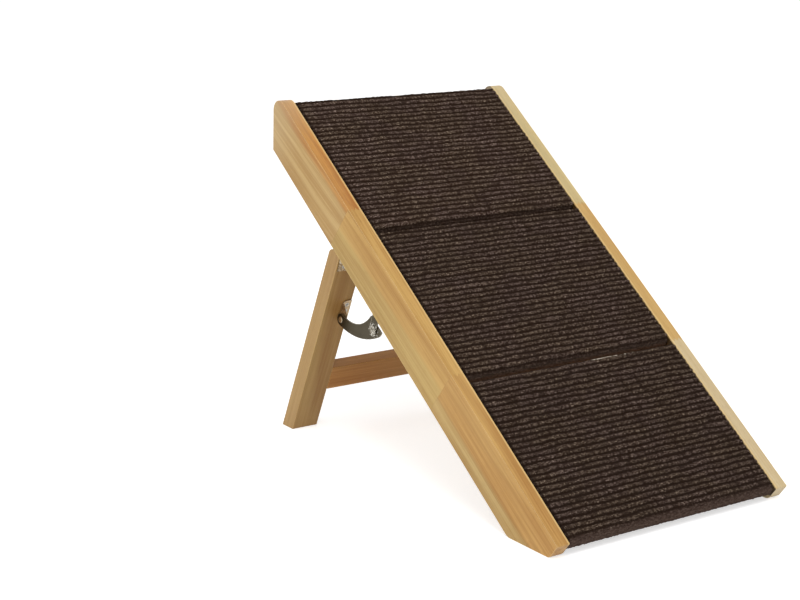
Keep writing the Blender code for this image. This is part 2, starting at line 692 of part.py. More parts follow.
def stay_bracket(side, sign, leg):
    """An angle of sheet steel: a flange screwed to the leg's front face and an ear ahead of it."""
    middle = stay_layer(sign, 2)
    out, inside = middle + sign * STAY_STEEL / 2, middle - sign * STAY_STEEL / 2
    tip = sign * (HALF_WIDTH - LEG_WIDTH + BRACKET_INSET)
    flange_width = abs(out - tip)
    back = KNUCKLE_OFFSET - GAP
    face = back - STAY_STEEL
    ear_end = -LEG_PIVOT_AHEAD - ARM_LEG_END
    section = rounded([(out, ear_end, 0), (out, back, BRACKET_BEND + STAY_STEEL), (tip, back, 0),
                       (tip, face, 0), (inside, face, BRACKET_BEND), (inside, ear_end, 0)])
    low, high = -LEG_PIVOT_DROP - BRACKET_DROP, -LEG_PIVOT_DROP + BRACKET_RISE
    centre = (low + high) / 2
    bracket = plate(side + "_stay_bracket", section, high - low, Matrix.Identity(4), (0, 0, centre))
    place(bracket, leg_axis, plated_steel())
    ear = rounded([(ear_end, low, BRACKET_DROP - GAP), (back + GAP, low - GAP, 0), (back + GAP, high + GAP, 0),
                   (face, high + GAP, 0), (ear_end, low + 2 * BRACKET_DROP, BRACKET_DROP - GAP)])
    trim = plate(side + "_ear_trim", ear, 3 * flange_width, middle=(middle, 0, 0))
    combine(bracket, keep_as_cutter(trim, leg_axis), "INTERSECT")
    far = out + sign * GAP
    flange = rounded([(tip - sign * GAP, low - GAP, 0), (far, low - GAP, 0), (far, high, BRACKET_CORNER),
                      (tip - sign * GAP, high, BRACKET_CORNER / 4)])
    trim = plate(side + "_flange_trim", flange, 4 * abs(ear_end), ACROSS_Y)
    combine(bracket, keep_as_cutter(trim, leg_axis), "INTERSECT")
    x = (inside + tip) / 2
    for number in (1, 2):
        z = low + BRACKET_DROP + (number - 1 / 4) * BRACKET_SCREW_SPREAD
        name = f"{side}_bracket_screw_{number}"
        add_screw(name, (x, face, z), (0, -1, 0), leg_axis, (bracket, leg))
    return bracket


def stays(rails, legs):
    """On each side a crescent arm and a link, riveted in the middle, swing beside the leg."""
    leg_pivot, rail_pivot, middle_pivot = stay_pivots()
    for side, sign in SIDES:
        link_x, arm_x, ear_x = (stay_layer(sign, layer) for layer in range(3))
        bracket = stay_bracket(side, sign, legs[side])
        arm = crescent_arm(side, arm_x, leg_pivot, middle_pivot)
        outline = link_outline(Vector((0, 0)), middle_pivot - rail_pivot, LINK_END)
        link = place(plate(side + "_stay_link", outline, STAY_STEEL), None, plated_steel())
        link.location = (link_x, *rail_pivot)
        drill(bracket, side + "_ear_bore", ear_x, leg_pivot, RIVET_RADIUS + GAP)
        drill(arm, side + "_arm_leg_bore", arm_x, leg_pivot, RIVET_RADIUS + RUNNING_GAP)
        drill(arm, side + "_arm_middle_bore", arm_x, middle_pivot, RIVET_RADIUS + GAP)
        drill(link, side + "_link_middle_bore", link_x, middle_pivot, RIVET_RADIUS + RUNNING_GAP)
        drill(link, side + "_link_rail_bore", link_x, rail_pivot, RIVET_RADIUS + RUNNING_GAP)
        grip = 2 * STAY_STEEL + GAP
        rivet = turned(side + "_leg_rivet", rivet_profile(grip, RIVET_HEAD_RADIUS, RIVET_HEAD_RADIUS))
        place(rivet, None, plated_steel())
        stand(rivet, ((arm_x + ear_x) / 2, *leg_pivot), (sign, 0, 0))
        rivet = turned(side + "_middle_rivet", rivet_profile(grip, ROSETTE_RADIUS, ROSETTE_RADIUS))
        place(rivet, None, plated_steel())
        stand(rivet, ((arm_x + link_x) / 2, *middle_pivot), (sign, 0, 0))
        rail_stud(side, sign, rail_pivot, rails[side])


def rail_stud(side, sign, rail_pivot, rail):
    """A shouldered stud screwed into the rail's inner face, on which the link turns."""
    inner_face = GAP
    collar = STAY_FIRST_LAYER - GAP
    head = STAY_FIRST_LAYER + STAY_STEEL + GAP
    profile = [(0, head + RIVET_HEAD), (RIVET_HEAD_RADIUS - RIVET_HEAD / 2, head + RIVET_HEAD),
               (RIVET_HEAD_RADIUS, head + RIVET_HEAD / 2), (RIVET_HEAD_RADIUS, head), (RIVET_RADIUS, head),
               (RIVET_RADIUS, collar), (STUD_COLLAR_RADIUS, collar), (STUD_COLLAR_RADIUS, inner_face),
               (SCREW_SHANK_RADIUS, inner_face), (SCREW_SHANK_RADIUS, SCREW_TIP - STUD_LENGTH), (0, -STUD_LENGTH)]
    stud = place(turned(side + "_stay_stud", profile), None, plated_steel())
    face_x = sign * INSIDE_WIDTH / 2
    stand(stud, (face_x, *rail_pivot), (-sign, 0, 0))
    hole = turned(side + "_stud_hole", cylinder_profile(SCREW_SHANK_RADIUS + GAP, -STUD_LENGTH - GAP, STUD_LENGTH))
    stand(keep_as_cutter(hole, None), (face_x, *rail_pivot), (-sign, 0, 0))
    combine(rail, hole)


clear_scene()
ramp_parts = make_collection("pet_ramp")
cutters = make_collection("cutters")
slope = make_frame("slope_frame", FRONT_Y, FRONT_HEIGHT, SLOPE)
leg_axis = make_frame("leg_axis", HINGE_Y, HINGE_Z, LEG_TILT)
side_boards = side_rails()
bar = crossbars(side_boards)
boards()
carpets()
leg_pair = leg_frame_wood()
hinges(side_boards, bar, leg_pair)
stays(side_boards, leg_pair)
bpy.context.view_layer.update()
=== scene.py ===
import json
import math

import bmesh
import bpy
from mathutils import Matrix, Vector


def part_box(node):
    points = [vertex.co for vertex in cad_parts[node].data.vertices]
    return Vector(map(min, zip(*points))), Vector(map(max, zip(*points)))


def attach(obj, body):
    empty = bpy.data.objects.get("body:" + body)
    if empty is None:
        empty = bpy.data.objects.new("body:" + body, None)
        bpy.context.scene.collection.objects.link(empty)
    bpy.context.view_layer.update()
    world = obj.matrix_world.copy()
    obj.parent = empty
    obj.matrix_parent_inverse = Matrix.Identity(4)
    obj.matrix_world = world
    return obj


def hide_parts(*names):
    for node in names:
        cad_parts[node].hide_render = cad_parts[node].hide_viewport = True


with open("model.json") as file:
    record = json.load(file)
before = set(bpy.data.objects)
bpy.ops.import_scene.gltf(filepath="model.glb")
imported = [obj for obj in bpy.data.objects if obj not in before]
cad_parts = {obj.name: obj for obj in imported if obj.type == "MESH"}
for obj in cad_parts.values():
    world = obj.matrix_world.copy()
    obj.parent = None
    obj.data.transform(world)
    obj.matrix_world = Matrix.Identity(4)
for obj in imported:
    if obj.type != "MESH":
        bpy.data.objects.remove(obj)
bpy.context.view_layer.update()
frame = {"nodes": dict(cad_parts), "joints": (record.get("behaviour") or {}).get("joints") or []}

# Side rails: two boards of rubberwood, each made of three staves finger-jointed end to end.
# The staves differ in tone and run from brown heartwood at the top edge to paler sapwood below;
# the boards are sanded, eased along every edge and finished with a clear satin varnish.
SLOPE = math.radians(36.0)
HINGE_ALONG_RAIL = 0.5325
HINGE_BELOW_EDGE = 0.0729
RAIL_INNER_FACE = 0.180
FINGER_LENGTH = 0.005
FINGER_PITCH = 0.0067
GLUE_LINE = 0.00022
STAVES_APART_IN_LOG = (0.37, 0.58)
SATIN_GLOSS = 0.32
PORE_DEPTH = 0.00008
EASED_WOOD_EDGE = 0.0015

# Patterns in rubberwood, in cycles a metre across its grain, along it and across it again
DRIFT_CYCLES = (16, 2.2, 16)
BAND_CYCLES = (95, 2.6, 95)
STREAK_CYCLES = (430, 7, 430)
PORE_CYCLES = (2600, 70, 2600)
TONE_CYCLES = (22, 3, 22)
SAP_LINE_WANDER = 0.030
SAP_LINE_SOFT = (-0.0035, 0.0045)
PITH_AWAY = (0.021, 0, 0.055)
PITH_TAPER = (1, 0.035, 1)
RING_WANDER = 0.016
RINGS_A_METRE = 240.0

# Marks on a rail, each from where it starts to where it is full: in metres out from the inner face,
# up from the rails' top edges, or along the rail
HIGHLIGHT_OUT = (0.0032, 0.0018)
HIGHLIGHT_UP = (-0.004, -0.001)
CRACK_OUT = (0.0008, 0.0003)
CRACK_TOP = (-0.0012, -0.0022)
CRACK_FOOT = (-0.0190, -0.0160)
BLEACHED_ALONG = (0.68, 0.81)

# Colours here and below are red, green and blue as they look on screen, from 0 to 255
LATE_WOOD = (216, 198, 170)
PORE_BROWN = (128, 80, 38)
PALE_FIGURE = (222, 188, 120)
RAIL_EDGE_WEAR_AND_HIGHLIGHT = (236, 206, 146)
INNER_EDGE_HIGHLIGHT = (232, 198, 134)
CRACK_SHADE = (44, 26, 15)
BLEACHED_END = (214, 192, 154)
GLUE_BROWN = (132, 88, 46)


def node(tree, kind, inputs=None, **settings):
    """Adds a node; inputs are its sockets' plain values, or the sockets that feed them."""
    made = tree.nodes.new(kind)
    for name, value in settings.items():
        setattr(made, name, value)
    for name, value in (inputs or {}).items():
        if isinstance(value, bpy.types.NodeSocket):
            tree.links.new(value, made.inputs[name])
        else:
            made.inputs[name].default_value = value
    return made


def maths(tree, operation, *values, clamp=False):
    """One step of arithmetic."""
    made = node(tree, "ShaderNodeMath", dict(enumerate(values)), operation=operation, use_clamp=clamp)
    return made.outputs[0]


def times(tree, *values):
    """Multiplies two or more values."""
    product = values[0]
    for value in values[1:]:
        product = maths(tree, "MULTIPLY", product, value)
    return product


def plus(tree, *values):
    """Adds two or more values."""
    total = values[0]
    for value in values[1:]:
        total = maths(tree, "ADD", total, value)
    return total


def less(tree, value, taken_off):
    """One value less another."""
    return maths(tree, "SUBTRACT", value, taken_off)


def vector_maths(tree, operation, *values):
    """One step of arithmetic with vectors; a length or a dot product comes out as a number."""
    made = node(tree, "ShaderNodeVectorMath", dict(enumerate(values)), operation=operation)
    return made.outputs["Value" if operation in ("LENGTH", "DOT_PRODUCT") else "Vector"]


def parted(tree, vector):
    """The X, Y and Z of a vector."""
    return node(tree, "ShaderNodeSeparateXYZ", {0: vector}).outputs


def vector_of(tree, **axes):
    """A vector made of X, Y and Z; an axis that isn't given is nought."""
    return node(tree, "ShaderNodeCombineXYZ", axes).outputs[0]


def tinted(red, green, blue):
    """A colour as it looks on screen, from 0 to 255, given as the shader wants it."""
    shares = (red / 255, green / 255, blue / 255)
    linear = [c / 12.92 if c < 0.043 else ((c + 0.055) / 1.055) ** 2.4 for c in shares]
    return (*linear, 1.0)


def mixed(tree, share, first, second, blend="MIX"):
    """Mixes two colours, which are sockets, colours as they look on screen, or four plain numbers."""
    first, second = [tinted(*c) if isinstance(c, tuple) and len(c) == 3 else c for c in (first, second)]
    sockets = {0: share, 6: first, 7: second}
    return node(tree, "ShaderNodeMix", sockets, data_type="RGBA", blend_type=blend).outputs[2]


def between(tree, share, first, second):
    """Mixes two numbers."""
    return node(tree, "ShaderNodeMix", {0: share, 2: first, 3: second}, data_type="FLOAT").outputs[0]


def painted(tree, colour, paint, where, strength):
    """Lays a paint over a colour as far as a mask and a strength say."""
    return mixed(tree, times(tree, where, strength), colour, paint)


def eased(tree, value, low, high, start=0.0, end=1.0):
    """Takes a value from start to end as it goes from low to high, smoothly."""
    sockets = {"Value": value, "From Min": low, "From Max": high, "To Min": start, "To Max": end}
    return node(tree, "ShaderNodeMapRange", sockets, interpolation_type="SMOOTHSTEP").outputs[0]


def noise(tree, at, cycles=(1, 1, 1), detail=2.0, roughness=0.5, distortion=0.0):
    """Noise with its own number of cycles a metre along each axis."""
    sockets = {"Vector": vector_maths(tree, "MULTIPLY", at, cycles), "Scale": 1.0,
               "Detail": detail, "Roughness": roughness, "Distortion": distortion}
    return node(tree, "ShaderNodeTexNoise", sockets).outputs["Fac"]


def spaced(named):
    """Named values with blanks for the underscores of their names, as sockets are named."""
    return {name.replace("_", " "): value for name, value in named.items()}


def effect(name, inputs, outputs, kind="ShaderNodeTree"):
    """A new node group, from its sockets' names and kinds; gives its tree, inputs and outputs."""
    tree = bpy.data.node_groups.new(name, kind)
    for direction, sockets in (("INPUT", inputs), ("OUTPUT", outputs)):
        for label, socket in sockets.items():
            tree.interface.new_socket(name=label, in_out=direction, socket_type="NodeSocket" + socket)
    return tree, tree.nodes.new("NodeGroupInput").outputs, tree.nodes.new("NodeGroupOutput").inputs


def use(tree, group, **inputs):
    """Places an effect in a material."""
    return node(tree, "ShaderNodeGroup", spaced(inputs), node_tree=group).outputs


def feed(tree, sockets, **sources):
    """Links each source to the socket of its name."""
    for label, source in spaced(sources).items():
        tree.links.new(source, sockets[label])


def blank(name, **plain):
    """A new material, its tree and its Principled shader, with the shader's plain values set."""
    material = bpy.data.materials.new(name)
    material.use_nodes = True
    shader = material.node_tree.nodes["Principled BSDF"]
    for label, value in spaced(plain).items():
        shader.inputs[label].default_value = value
    return material, material.node_tree, shader


def bumped(tree, shader, height, distance):
    """Feeds a height in metres of the given full range to the shader's normal."""
    made = node(tree, "ShaderNodeBump", {"Height": height, "Distance": distance, "Strength": 1.0})
    feed(tree, shader.inputs, Normal=made.outputs["Normal"])


def seen_from(tree, axes):
    """Object coordinates read in turned axes, such as along and square to the rails."""
    inverse = axes.inverted()
    sockets = {"Vector": node(tree, "ShaderNodeTexCoord").outputs["Object"],
               "Location": tuple(inverse.translation), "Rotation": tuple(inverse.to_euler())}
    return node(tree, "ShaderNodeMapping", sockets, vector_type="POINT").outputs["Vector"]


def finish_cad(material, *names):
    """Gives CAD pieces their finish."""
    for name in names:
        slots = frame["nodes"][name].data.materials
        slots.clear()
        slots.append(material)


def rubberwood_effect():
    """Rubberwood whose grain runs with Y: broad figure, streaks, growth lines and pores."""
    tree, given, out = effect(
        "rubberwood",
        {"Vector": "Vector", "Heart": "Color", "Sap": "Color", "Sap Line": "Float", "Figure": "Float",
         "Cross Grain": "Float"},
        {"Color": "Color", "Roughness": "Float", "Height": "Float"})
    place = parted(tree, given["Vector"])
    lift = vector_of(tree, Z=times(tree, place["Y"], given["Cross Grain"]))
    at = vector_maths(tree, "ADD", given["Vector"], lift)
    drift = noise(tree, at, DRIFT_CYCLES)
    level = plus(tree, place["Z"], times(tree, less(tree, drift, 0.5), SAP_LINE_WANDER))
    sap = eased(tree, less(tree, given["Sap Line"], level), *SAP_LINE_SOFT)
    colour = mixed(tree, sap, given["Heart"], given["Sap"])
    pith = vector_maths(tree, "MULTIPLY", vector_maths(tree, "ADD", at, PITH_AWAY), PITH_TAPER)
    radius = plus(tree, vector_maths(tree, "LENGTH", pith), times(tree, drift, RING_WANDER))
    ring = maths(tree, "FRACT", times(tree, radius, RINGS_A_METRE))
    late = maths(tree, "POWER", ring, 3.0)
    bands = eased(tree, noise(tree, at, BAND_CYCLES), 0.36, 0.64)
    streaks = noise(tree, at, STREAK_CYCLES, detail=3, roughness=0.6)
    lines = eased(tree, streaks, 0.38, 0.66)
    shade = plus(tree, times(tree, late, 0.18), times(tree, bands, 0.55), times(tree, lines, 0.34))
    darker = mixed(tree, 1.0, colour, LATE_WOOD, "MULTIPLY")
    colour = mixed(tree, times(tree, shade, given["Figure"]), colour, darker)
    pores = eased(tree, noise(tree, at, PORE_CYCLES, detail=1), 0.62, 0.74)
    colour = painted(tree, colour, PORE_BROWN, pores, strength=0.38)
    pale = eased(tree, noise(tree, at, TONE_CYCLES), 0.40, 0.68, end=0.22)
    colour = mixed(tree, pale, colour, PALE_FIGURE)
    rough = plus(tree, times(tree, streaks, 0.16), times(tree, pores, 0.2), 0.36)
    height = less(tree, times(tree, streaks, 0.35), times(tree, pores, 0.65))
    feed(tree, out, Color=colour, Roughness=rough, Height=height)
    return tree


def edge_wear_and_highlight_effect():
    """How far a spot lies on an eased edge, which the finishes make paler and smoother: partly wear from
    hands and sanding, partly painted highlight.
    """
    tree, given, out = effect("edge_wear_and_highlight", {"Width": "Float"}, {"Mask": "Float"})
    round_normal = node(tree, "ShaderNodeBevel", {"Radius": given["Width"]}, samples=4).outputs["Normal"]
    flat_normal = node(tree, "ShaderNodeNewGeometry").outputs["True Normal"]
    match = vector_maths(tree, "DOT_PRODUCT", round_normal, flat_normal)
    feed(tree, out, Mask=eased(tree, less(tree, 1.0, match), 0.004, 0.09))
    return tree


rubberwood = rubberwood_effect()
edge_wear_and_highlight = edge_wear_and_highlight_effect()
hinge = Vector(frame["joints"][0]["pos_m"])
along_rail = Vector((0, math.cos(SLOPE), math.sin(SLOPE)))
square_to_rail = Vector((0, -math.sin(SLOPE), math.cos(SLOPE)))
rail_foot = hinge - HINGE_ALONG_RAIL * along_rail + HINGE_BELOW_EDGE * square_to_rail
slope_turn = Matrix.Rotation(SLOPE, 4, "X")
slope_frame = Matrix.Translation(rail_foot) @ slope_turn


def by_stave(tree, past_joints, values):
    """Picks each stave's colour or number, counted from the low end."""
    chosen = values[0]
    for past, value in zip(past_joints, values[1:]):
        mix = mixed if isinstance(value, tuple) else between
        chosen = mix(tree, past, chosen, value)
    return chosen


def rail_finish(name, joints, **staves):
    """The finish of a rail: each stave has its own two tones, sapwood line, figure and slope of grain."""
    material, tree, shader = blank(name, Specular_IOR_Level=SATIN_GLOSS)
    at = seen_from(tree, slope_frame)
    place = parted(tree, at)
    across = maths(tree, "PINGPONG", place["X"], FINGER_PITCH / 2)
    along = plus(tree, place["Y"], times(tree, across, 2 * FINGER_LENGTH / FINGER_PITCH))
    past_joints = [maths(tree, "GREATER_THAN", along, joint) for joint in joints]
    glue = maths(tree, "MAXIMUM", *[maths(tree, "COMPARE", along, joint, GLUE_LINE) for joint in joints])
    shift = plus(tree, *[times(tree, past, far) for past, far in zip(past_joints, STAVES_APART_IN_LOG)])
    in_log = vector_maths(tree, "ADD", at, vector_of(tree, X=shift, Y=shift))
    own = {label: by_stave(tree, past_joints, values) for label, values in staves.items()}
    wood = use(tree, rubberwood, Vector=in_log, **own)
    worn_and_lit = use(tree, edge_wear_and_highlight, Width=EASED_WOOD_EDGE)["Mask"]
    # The eased edges are painted paler, partly as wear and partly as painted highlight.
    colour = painted(tree, wood["Color"], RAIL_EDGE_WEAR_AND_HIGHLIGHT, worn_and_lit, strength=0.5)
    from_inside = less(tree, maths(tree, "ABSOLUTE", place["X"]), RAIL_INNER_FACE)
    # Painted highlight: a pale band along the top of the rail's inner edge.
    inner_edge_highlight = times(tree, eased(tree, from_inside, *HIGHLIGHT_OUT), eased(tree, place["Z"], *HIGHLIGHT_UP))
    colour = painted(tree, colour, INNER_EDGE_HIGHLIGHT, inner_edge_highlight, strength=0.55)
    # Painted shade: the rail's inner face is darkened beside the boards and carpets, where shade falls in
    # the crack.
    crack_shade = times(tree, eased(tree, from_inside, *CRACK_OUT), eased(tree, place["Z"], *CRACK_TOP),
                  eased(tree, place["Z"], *CRACK_FOOT))
    colour = painted(tree, colour, CRACK_SHADE, crack_shade, strength=0.92)
    colour = mixed(tree, eased(tree, place["Y"], *BLEACHED_ALONG, end=0.4), colour, BLEACHED_END)
    colour = painted(tree, colour, GLUE_BROWN, glue, strength=0.28)
    rough = less(tree, wood["Roughness"], times(tree, worn_and_lit, 0.08))
    feed(tree, shader.inputs, Base_Color=colour, Roughness=rough)
    bumped(tree, shader, wood["Height"], PORE_DEPTH)
    return material


left_rail_wood = rail_finish(
    "left_rail_wood", joints=(0.270, 0.564),
    Heart=((196, 152, 85), (200, 159, 90), (192, 130, 53)),
    Sap=((198, 170, 112), (192, 162, 98), (198, 166, 112)),
    Sap_Line=(-0.044, -0.034, -0.009), Figure=(1.25, 0.95, 1.5), Cross_Grain=(0.0, 0.02, 0.07))
right_rail_wood = rail_finish(
    "right_rail_wood", joints=(0.262, 0.527),
    Heart=((216, 197, 157), (210, 172, 106), (206, 188, 138)),
    Sap=((211, 188, 145), (196, 164, 106), (203, 180, 132)),
    Sap_Line=(-0.040, -0.046, -0.030), Figure=(0.5, 0.6, 0.45), Cross_Grain=(0.03, -0.02, 0.01))
finish_cad(left_rail_wood, "left_side_rail")
finish_cad(right_rail_wood, "right_side_rail")

# Crossbars: five rubberwood bars between the rails, planed square and eased, their grain across.
# One stands at each end of the row of boards, one under each seam, and one carries the hinges.
# Each bar has its heartwood colour and its own place in the log.
CROSSBARS = {
    "foot_crossbar": ((196, 150, 96), 0.11),
    "lower_seam_crossbar": ((204, 162, 110), 0.29),
    "upper_seam_crossbar": ((188, 142, 92), 0.53),
    "hinge_crossbar": ((198, 154, 102), 0.71),
    "top_crossbar": ((206, 168, 118), 0.93),
}
SAP_PALER = 14
LOG_SPREAD = 1.7
WOOD_EDGE_WEAR_AND_HIGHLIGHT = (226, 190, 128)
turned_across = Matrix.Rotation(math.pi / 2, 4, "Z")


def plain_wood(name, axes, heart, sap, in_log, figure=0.5):
    """Rubberwood in one stave, half heartwood and half sapwood; in_log moves it to its own spot."""
    material, tree, shader = blank(name, Specular_IOR_Level=SATIN_GLOSS)
    at = vector_maths(tree, "ADD", seen_from(tree, axes), (in_log, in_log * LOG_SPREAD, 0))
    wood = use(tree, rubberwood, Vector=at, Heart=tinted(*heart), Sap=tinted(*sap), Figure=figure)
    worn_and_lit = use(tree, edge_wear_and_highlight, Width=EASED_WOOD_EDGE)["Mask"]
    # The eased edges are painted paler, partly as wear and partly as painted highlight.
    colour = painted(tree, wood["Color"], WOOD_EDGE_WEAR_AND_HIGHLIGHT, worn_and_lit, strength=0.5)
    feed(tree, shader.inputs, Base_Color=colour, Roughness=wood["Roughness"])
    bumped(tree, shader, wood["Height"], PORE_DEPTH)
    return material


for bar, (heart, in_log) in CROSSBARS.items():
    low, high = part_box(bar)
    grain = Matrix.Translation((low + high) / 2) @ slope_turn @ turned_across
    sap = tuple(c + SAP_PALER for c in heart)
    finish_cad(plain_wood(bar + "_wood", grain, heart, sap, in_log), bar)

# Dowels: plain beech pins with chamfered ends, glued half into a crossbar and half into a rail,
# and two more between the stretcher and the legs. They are hidden once the frame is glued up.
beech = plain_wood("beech_dowel_wood", turned_across, (214, 176, 132), (222, 188, 146), 0.4, figure=0.25)
finish_cad(beech, *[name for name in frame["nodes"] if "dowel" in name])

# Boards: three panels of thin plywood that lie on the crossbars, with a pale rotary-cut face veneer.
# Their plies show along the sawn edges; only the high edge of the top one is open to view.
BOARD_THICK = 0.012
BOARD_TOP = -0.0043
PLY_COUNT = 7
GLUE_SHARE = 0.05
BARE_PLY_GLOSS = 0.3
VENEER_CYCLES = (26, 5, 26)
VENEER_RINGS = 9.0
FIBRE_CYCLES = (700, 14, 700)
SAWN_CYCLES = (900, 900, 900)
FIBRE_DEPTH = 0.0001
VENEER_PALE = (222, 196, 152)
VENEER_DARK = (188, 150, 104)
VENEER_FIBRE = (170, 130, 86)
PLY_ALONG = (224, 200, 158)
PLY_END_GRAIN = (168, 126, 84)
PLY_GLUE = (96, 62, 38)
SAWN_SHADE = (140, 100, 62)


def plywood_finish():
    """Birch plywood: swirling veneer on both faces, and plies with glue between them on the edges."""
    material, tree, shader = blank("birch_plywood", Specular_IOR_Level=BARE_PLY_GLOSS)
    at = seen_from(tree, slope_frame)
    below_top = less(tree, BOARD_TOP, parted(tree, at)["Z"])
    ply = maths(tree, "DIVIDE", below_top, BOARD_THICK / PLY_COUNT)
    odd = maths(tree, "GREATER_THAN", maths(tree, "PINGPONG", ply, 1.0), 0.5)
    from_glue = maths(tree, "PINGPONG", plus(tree, ply, 0.5), 0.5)
    glued = maths(tree, "LESS_THAN", from_glue, GLUE_SHARE)
    swirl = noise(tree, at, VENEER_CYCLES, detail=4, distortion=0.6)
    veneer = maths(tree, "FRACT", times(tree, swirl, VENEER_RINGS))
    fibre = noise(tree, at, FIBRE_CYCLES, detail=3)
    face = mixed(tree, times(tree, veneer, 0.35), VENEER_PALE, VENEER_DARK)
    face = painted(tree, face, VENEER_FIBRE, fibre, strength=0.35)
    edge = mixed(tree, odd, PLY_ALONG, PLY_END_GRAIN)
    edge = mixed(tree, glued, edge, PLY_GLUE)
    edge = painted(tree, edge, SAWN_SHADE, noise(tree, at, SAWN_CYCLES), strength=0.3)
    normal = node(tree, "ShaderNodeNewGeometry").outputs["True Normal"]
    facing = vector_maths(tree, "DOT_PRODUCT", normal, tuple(square_to_rail))
    flat = maths(tree, "GREATER_THAN", maths(tree, "ABSOLUTE", facing), 0.7)
    rough = eased(tree, fibre, 0.2, 0.8, 0.55, 0.75)
    feed(tree, shader.inputs, Base_Color=mixed(tree, flat, edge, face), Roughness=rough)
    bumped(tree, shader, fibre, FIBRE_DEPTH)
    return material


finish_cad(plywood_finish(), "lower_board", "middle_board", "upper_board")

# Carpets: ribbed needle-felt with a stiff latex back, glued to each board with its ribs across.
# Each is cut off at its board's high edge and wrapped down over the low edge; the lowest also
# goes on under its board. The ribs are dark brown with paler flecks and end in soft round tufts.
PANEL_PITCH = 0.2605
PANEL_LENGTH = 0.2535
CARPET_HALF_WIDTH = 0.179
NOSE_ROUND = 0.005
BACK_CLEAR = 0.0003
LATEX_BACK = 0.0035
BACK_RADIUS = NOSE_ROUND + BACK_CLEAR
FACE_RADIUS = BACK_RADIUS + LATEX_BACK
TUCK_UNDER = 0.014
UNDERSIDE_RUN = -0.001
STEPS_PER_RIB = 7
BACK_COARSER = 12
STEPS_ACROSS = 370

RIB_PITCH = 0.0084
RIB_RISE = 0.0025
RIB_END_ROUND = 0.0036
TUFT_LENGTH = 0.0042
RIB_WANDER = 0.75
WANDER_CYCLES = 24.0
WANDER_A_ROW = 0.45
ROWS_APART = 7.31
FELT_FUZZ = 0.0011
PRESSED_FLAT = 0.48
RAGGED_END = 0.010
TUFT_SWELL = 0.0042
TUFT_SWELL_LIMIT = 0.0012
FIRST_SEED = 3.7
SEED_STEP = 11.3
BREAK_CYCLES = (0.42, 1.7, 1.0)
FUZZ_CYCLES = (420, 620, 620)

FELT_GLOSS = 0.05
FELT_SHEEN = 0.05
SHEEN_ROUGH = 0.6
SHEEN_TINT = (0.55, 0.45, 0.38, 1.0)
NAP_DEPTH = 0.0022
FELT_FIBRE_CYCLES = (420, 1500, 1500)
FLECK_CYCLES = (230, 480, 480)
PALE_FIBRE_CYCLES = (300, 520, 520)
HUE_CYCLES = (15, 22, 22)
THREAD_CYCLES = (380, 300, 300)
ROW_TONE_CYCLES = 12.0
TONE_A_ROW = 3.7
GROOVE_SHADE = (36, 22, 13)
CREST_BROWN = (75, 62, 55)
CREST_FLECK = (122, 108, 100)
DARK_FIBRE = (34, 21, 13)
PALE_FIBRE = (170, 154, 142)
PURPLE_CAST = (251, 242, 240)
OLIVE_CAST = (251, 244, 228)
DULL_ROW = (46, 35, 29)
NOSE_FLECK = (118, 100, 90)
NOSE_DARK_FIBRE = (34, 22, 15)
SIDE_SHADOW = (24, 14, 8)
LOOSE_THREAD = (206, 194, 176)
LATEX_PALE = (196, 182, 162)
LATEX_STAINED = (122, 104, 86)

# Marks on a carpet, each from where it starts to where it is full: down the nose from the last rib,
# and across the ramp, where a thread hangs loose along the lower panel's cut
DOWN_NOSE = (0.003, 0.0095)
BESIDE_RAIL = (-0.1745, -0.1768)
THREAD_START = (0.024, 0.032)
THREAD_END = (0.112, 0.098)
THREAD_THINS = (0.085, 0.045)
CUT_DEPTH = 0.0018

# For each panel: how far its carpet stops short of the board's high edge, where its first rib lies,
# how far its ribs go on past the bend, its two tones down the nose as painted light, and how light it is in
# all
PANELS = {
    "lower": {"cut_short": 0.0008, "rib_shift": 0.0, "past_bend": 0.0015,
              "nose_painted_light": ((72, 56, 49), (90, 72, 63)), "shade": 0.92},
    "middle": {"cut_short": 0.0008, "rib_shift": 0.0041, "past_bend": 0.0056,
               "nose_painted_light": ((62, 49, 42), (116, 97, 85)), "shade": 0.98},
    "upper": {"cut_short": 0.005, "rib_shift": 0.0023, "past_bend": 0.0073,
              "nose_painted_light": ((54, 42, 36), (74, 58, 50)), "shade": 1.13},
}


def wrapped_line(low, high, tucked):
    """The line a carpet wraps about, in the slope frame: from, to, facing at the start, and turn."""
    quarter = math.pi / 2
    underside = BOARD_TOP - BOARD_THICK
    nose = Vector((low + RIB_RISE + LATEX_BACK + BACK_CLEAR + NOSE_ROUND, BOARD_TOP - NOSE_ROUND))
    stretches = [(Vector((high, nose.y)), nose, quarter, 0.0), (nose, nose, quarter, quarter)]
    if not tucked:
        return stretches + [(nose, Vector((nose.x, underside)), math.pi, 0.0)]
    under = Vector((nose.x, underside + NOSE_ROUND))
    end = under + Vector((TUCK_UNDER, 0))
    return stretches + [(nose, under, math.pi, 0.0), (under, under, math.pi, quarter),
                        (under, end, 3 * quarter, 0.0)]


def line_length(line, radius):
    """The length of a wrapped line, measured at a radius from it."""
    return sum((end - start).length + turn * radius for start, end, facing, turn in line)


def point_and_facing(line, radius, run):
    """Where a run along the line comes to, measured at a radius from it, and which way it faces."""
    for start, end, facing, turn in line:
        length = (end - start).length + turn * radius
        if run <= length:
            break
        run -= length
    share = min(run / length, 1.0)
    angle = facing + turn * share
    return start.lerp(end, share), Vector((math.cos(angle), math.sin(angle)))


def carpet_section(line, length, steps, back_steps):
    """A cut along a carpet, down its face and back up its underside: point, run, facing and pile."""
    section = []
    for k in range(steps + 1):
        run = length * k / steps
        point, facing = point_and_facing(line, FACE_RADIUS, run)
        section.append((point + FACE_RADIUS * facing, run, facing, 1.0))
    for k in range(back_steps, -1, -1):
        point, facing = point_and_facing(line, FACE_RADIUS, length * k / back_steps)
        section.append((point + BACK_RADIUS * facing, UNDERSIDE_RUN, facing, 0.0))
    return section


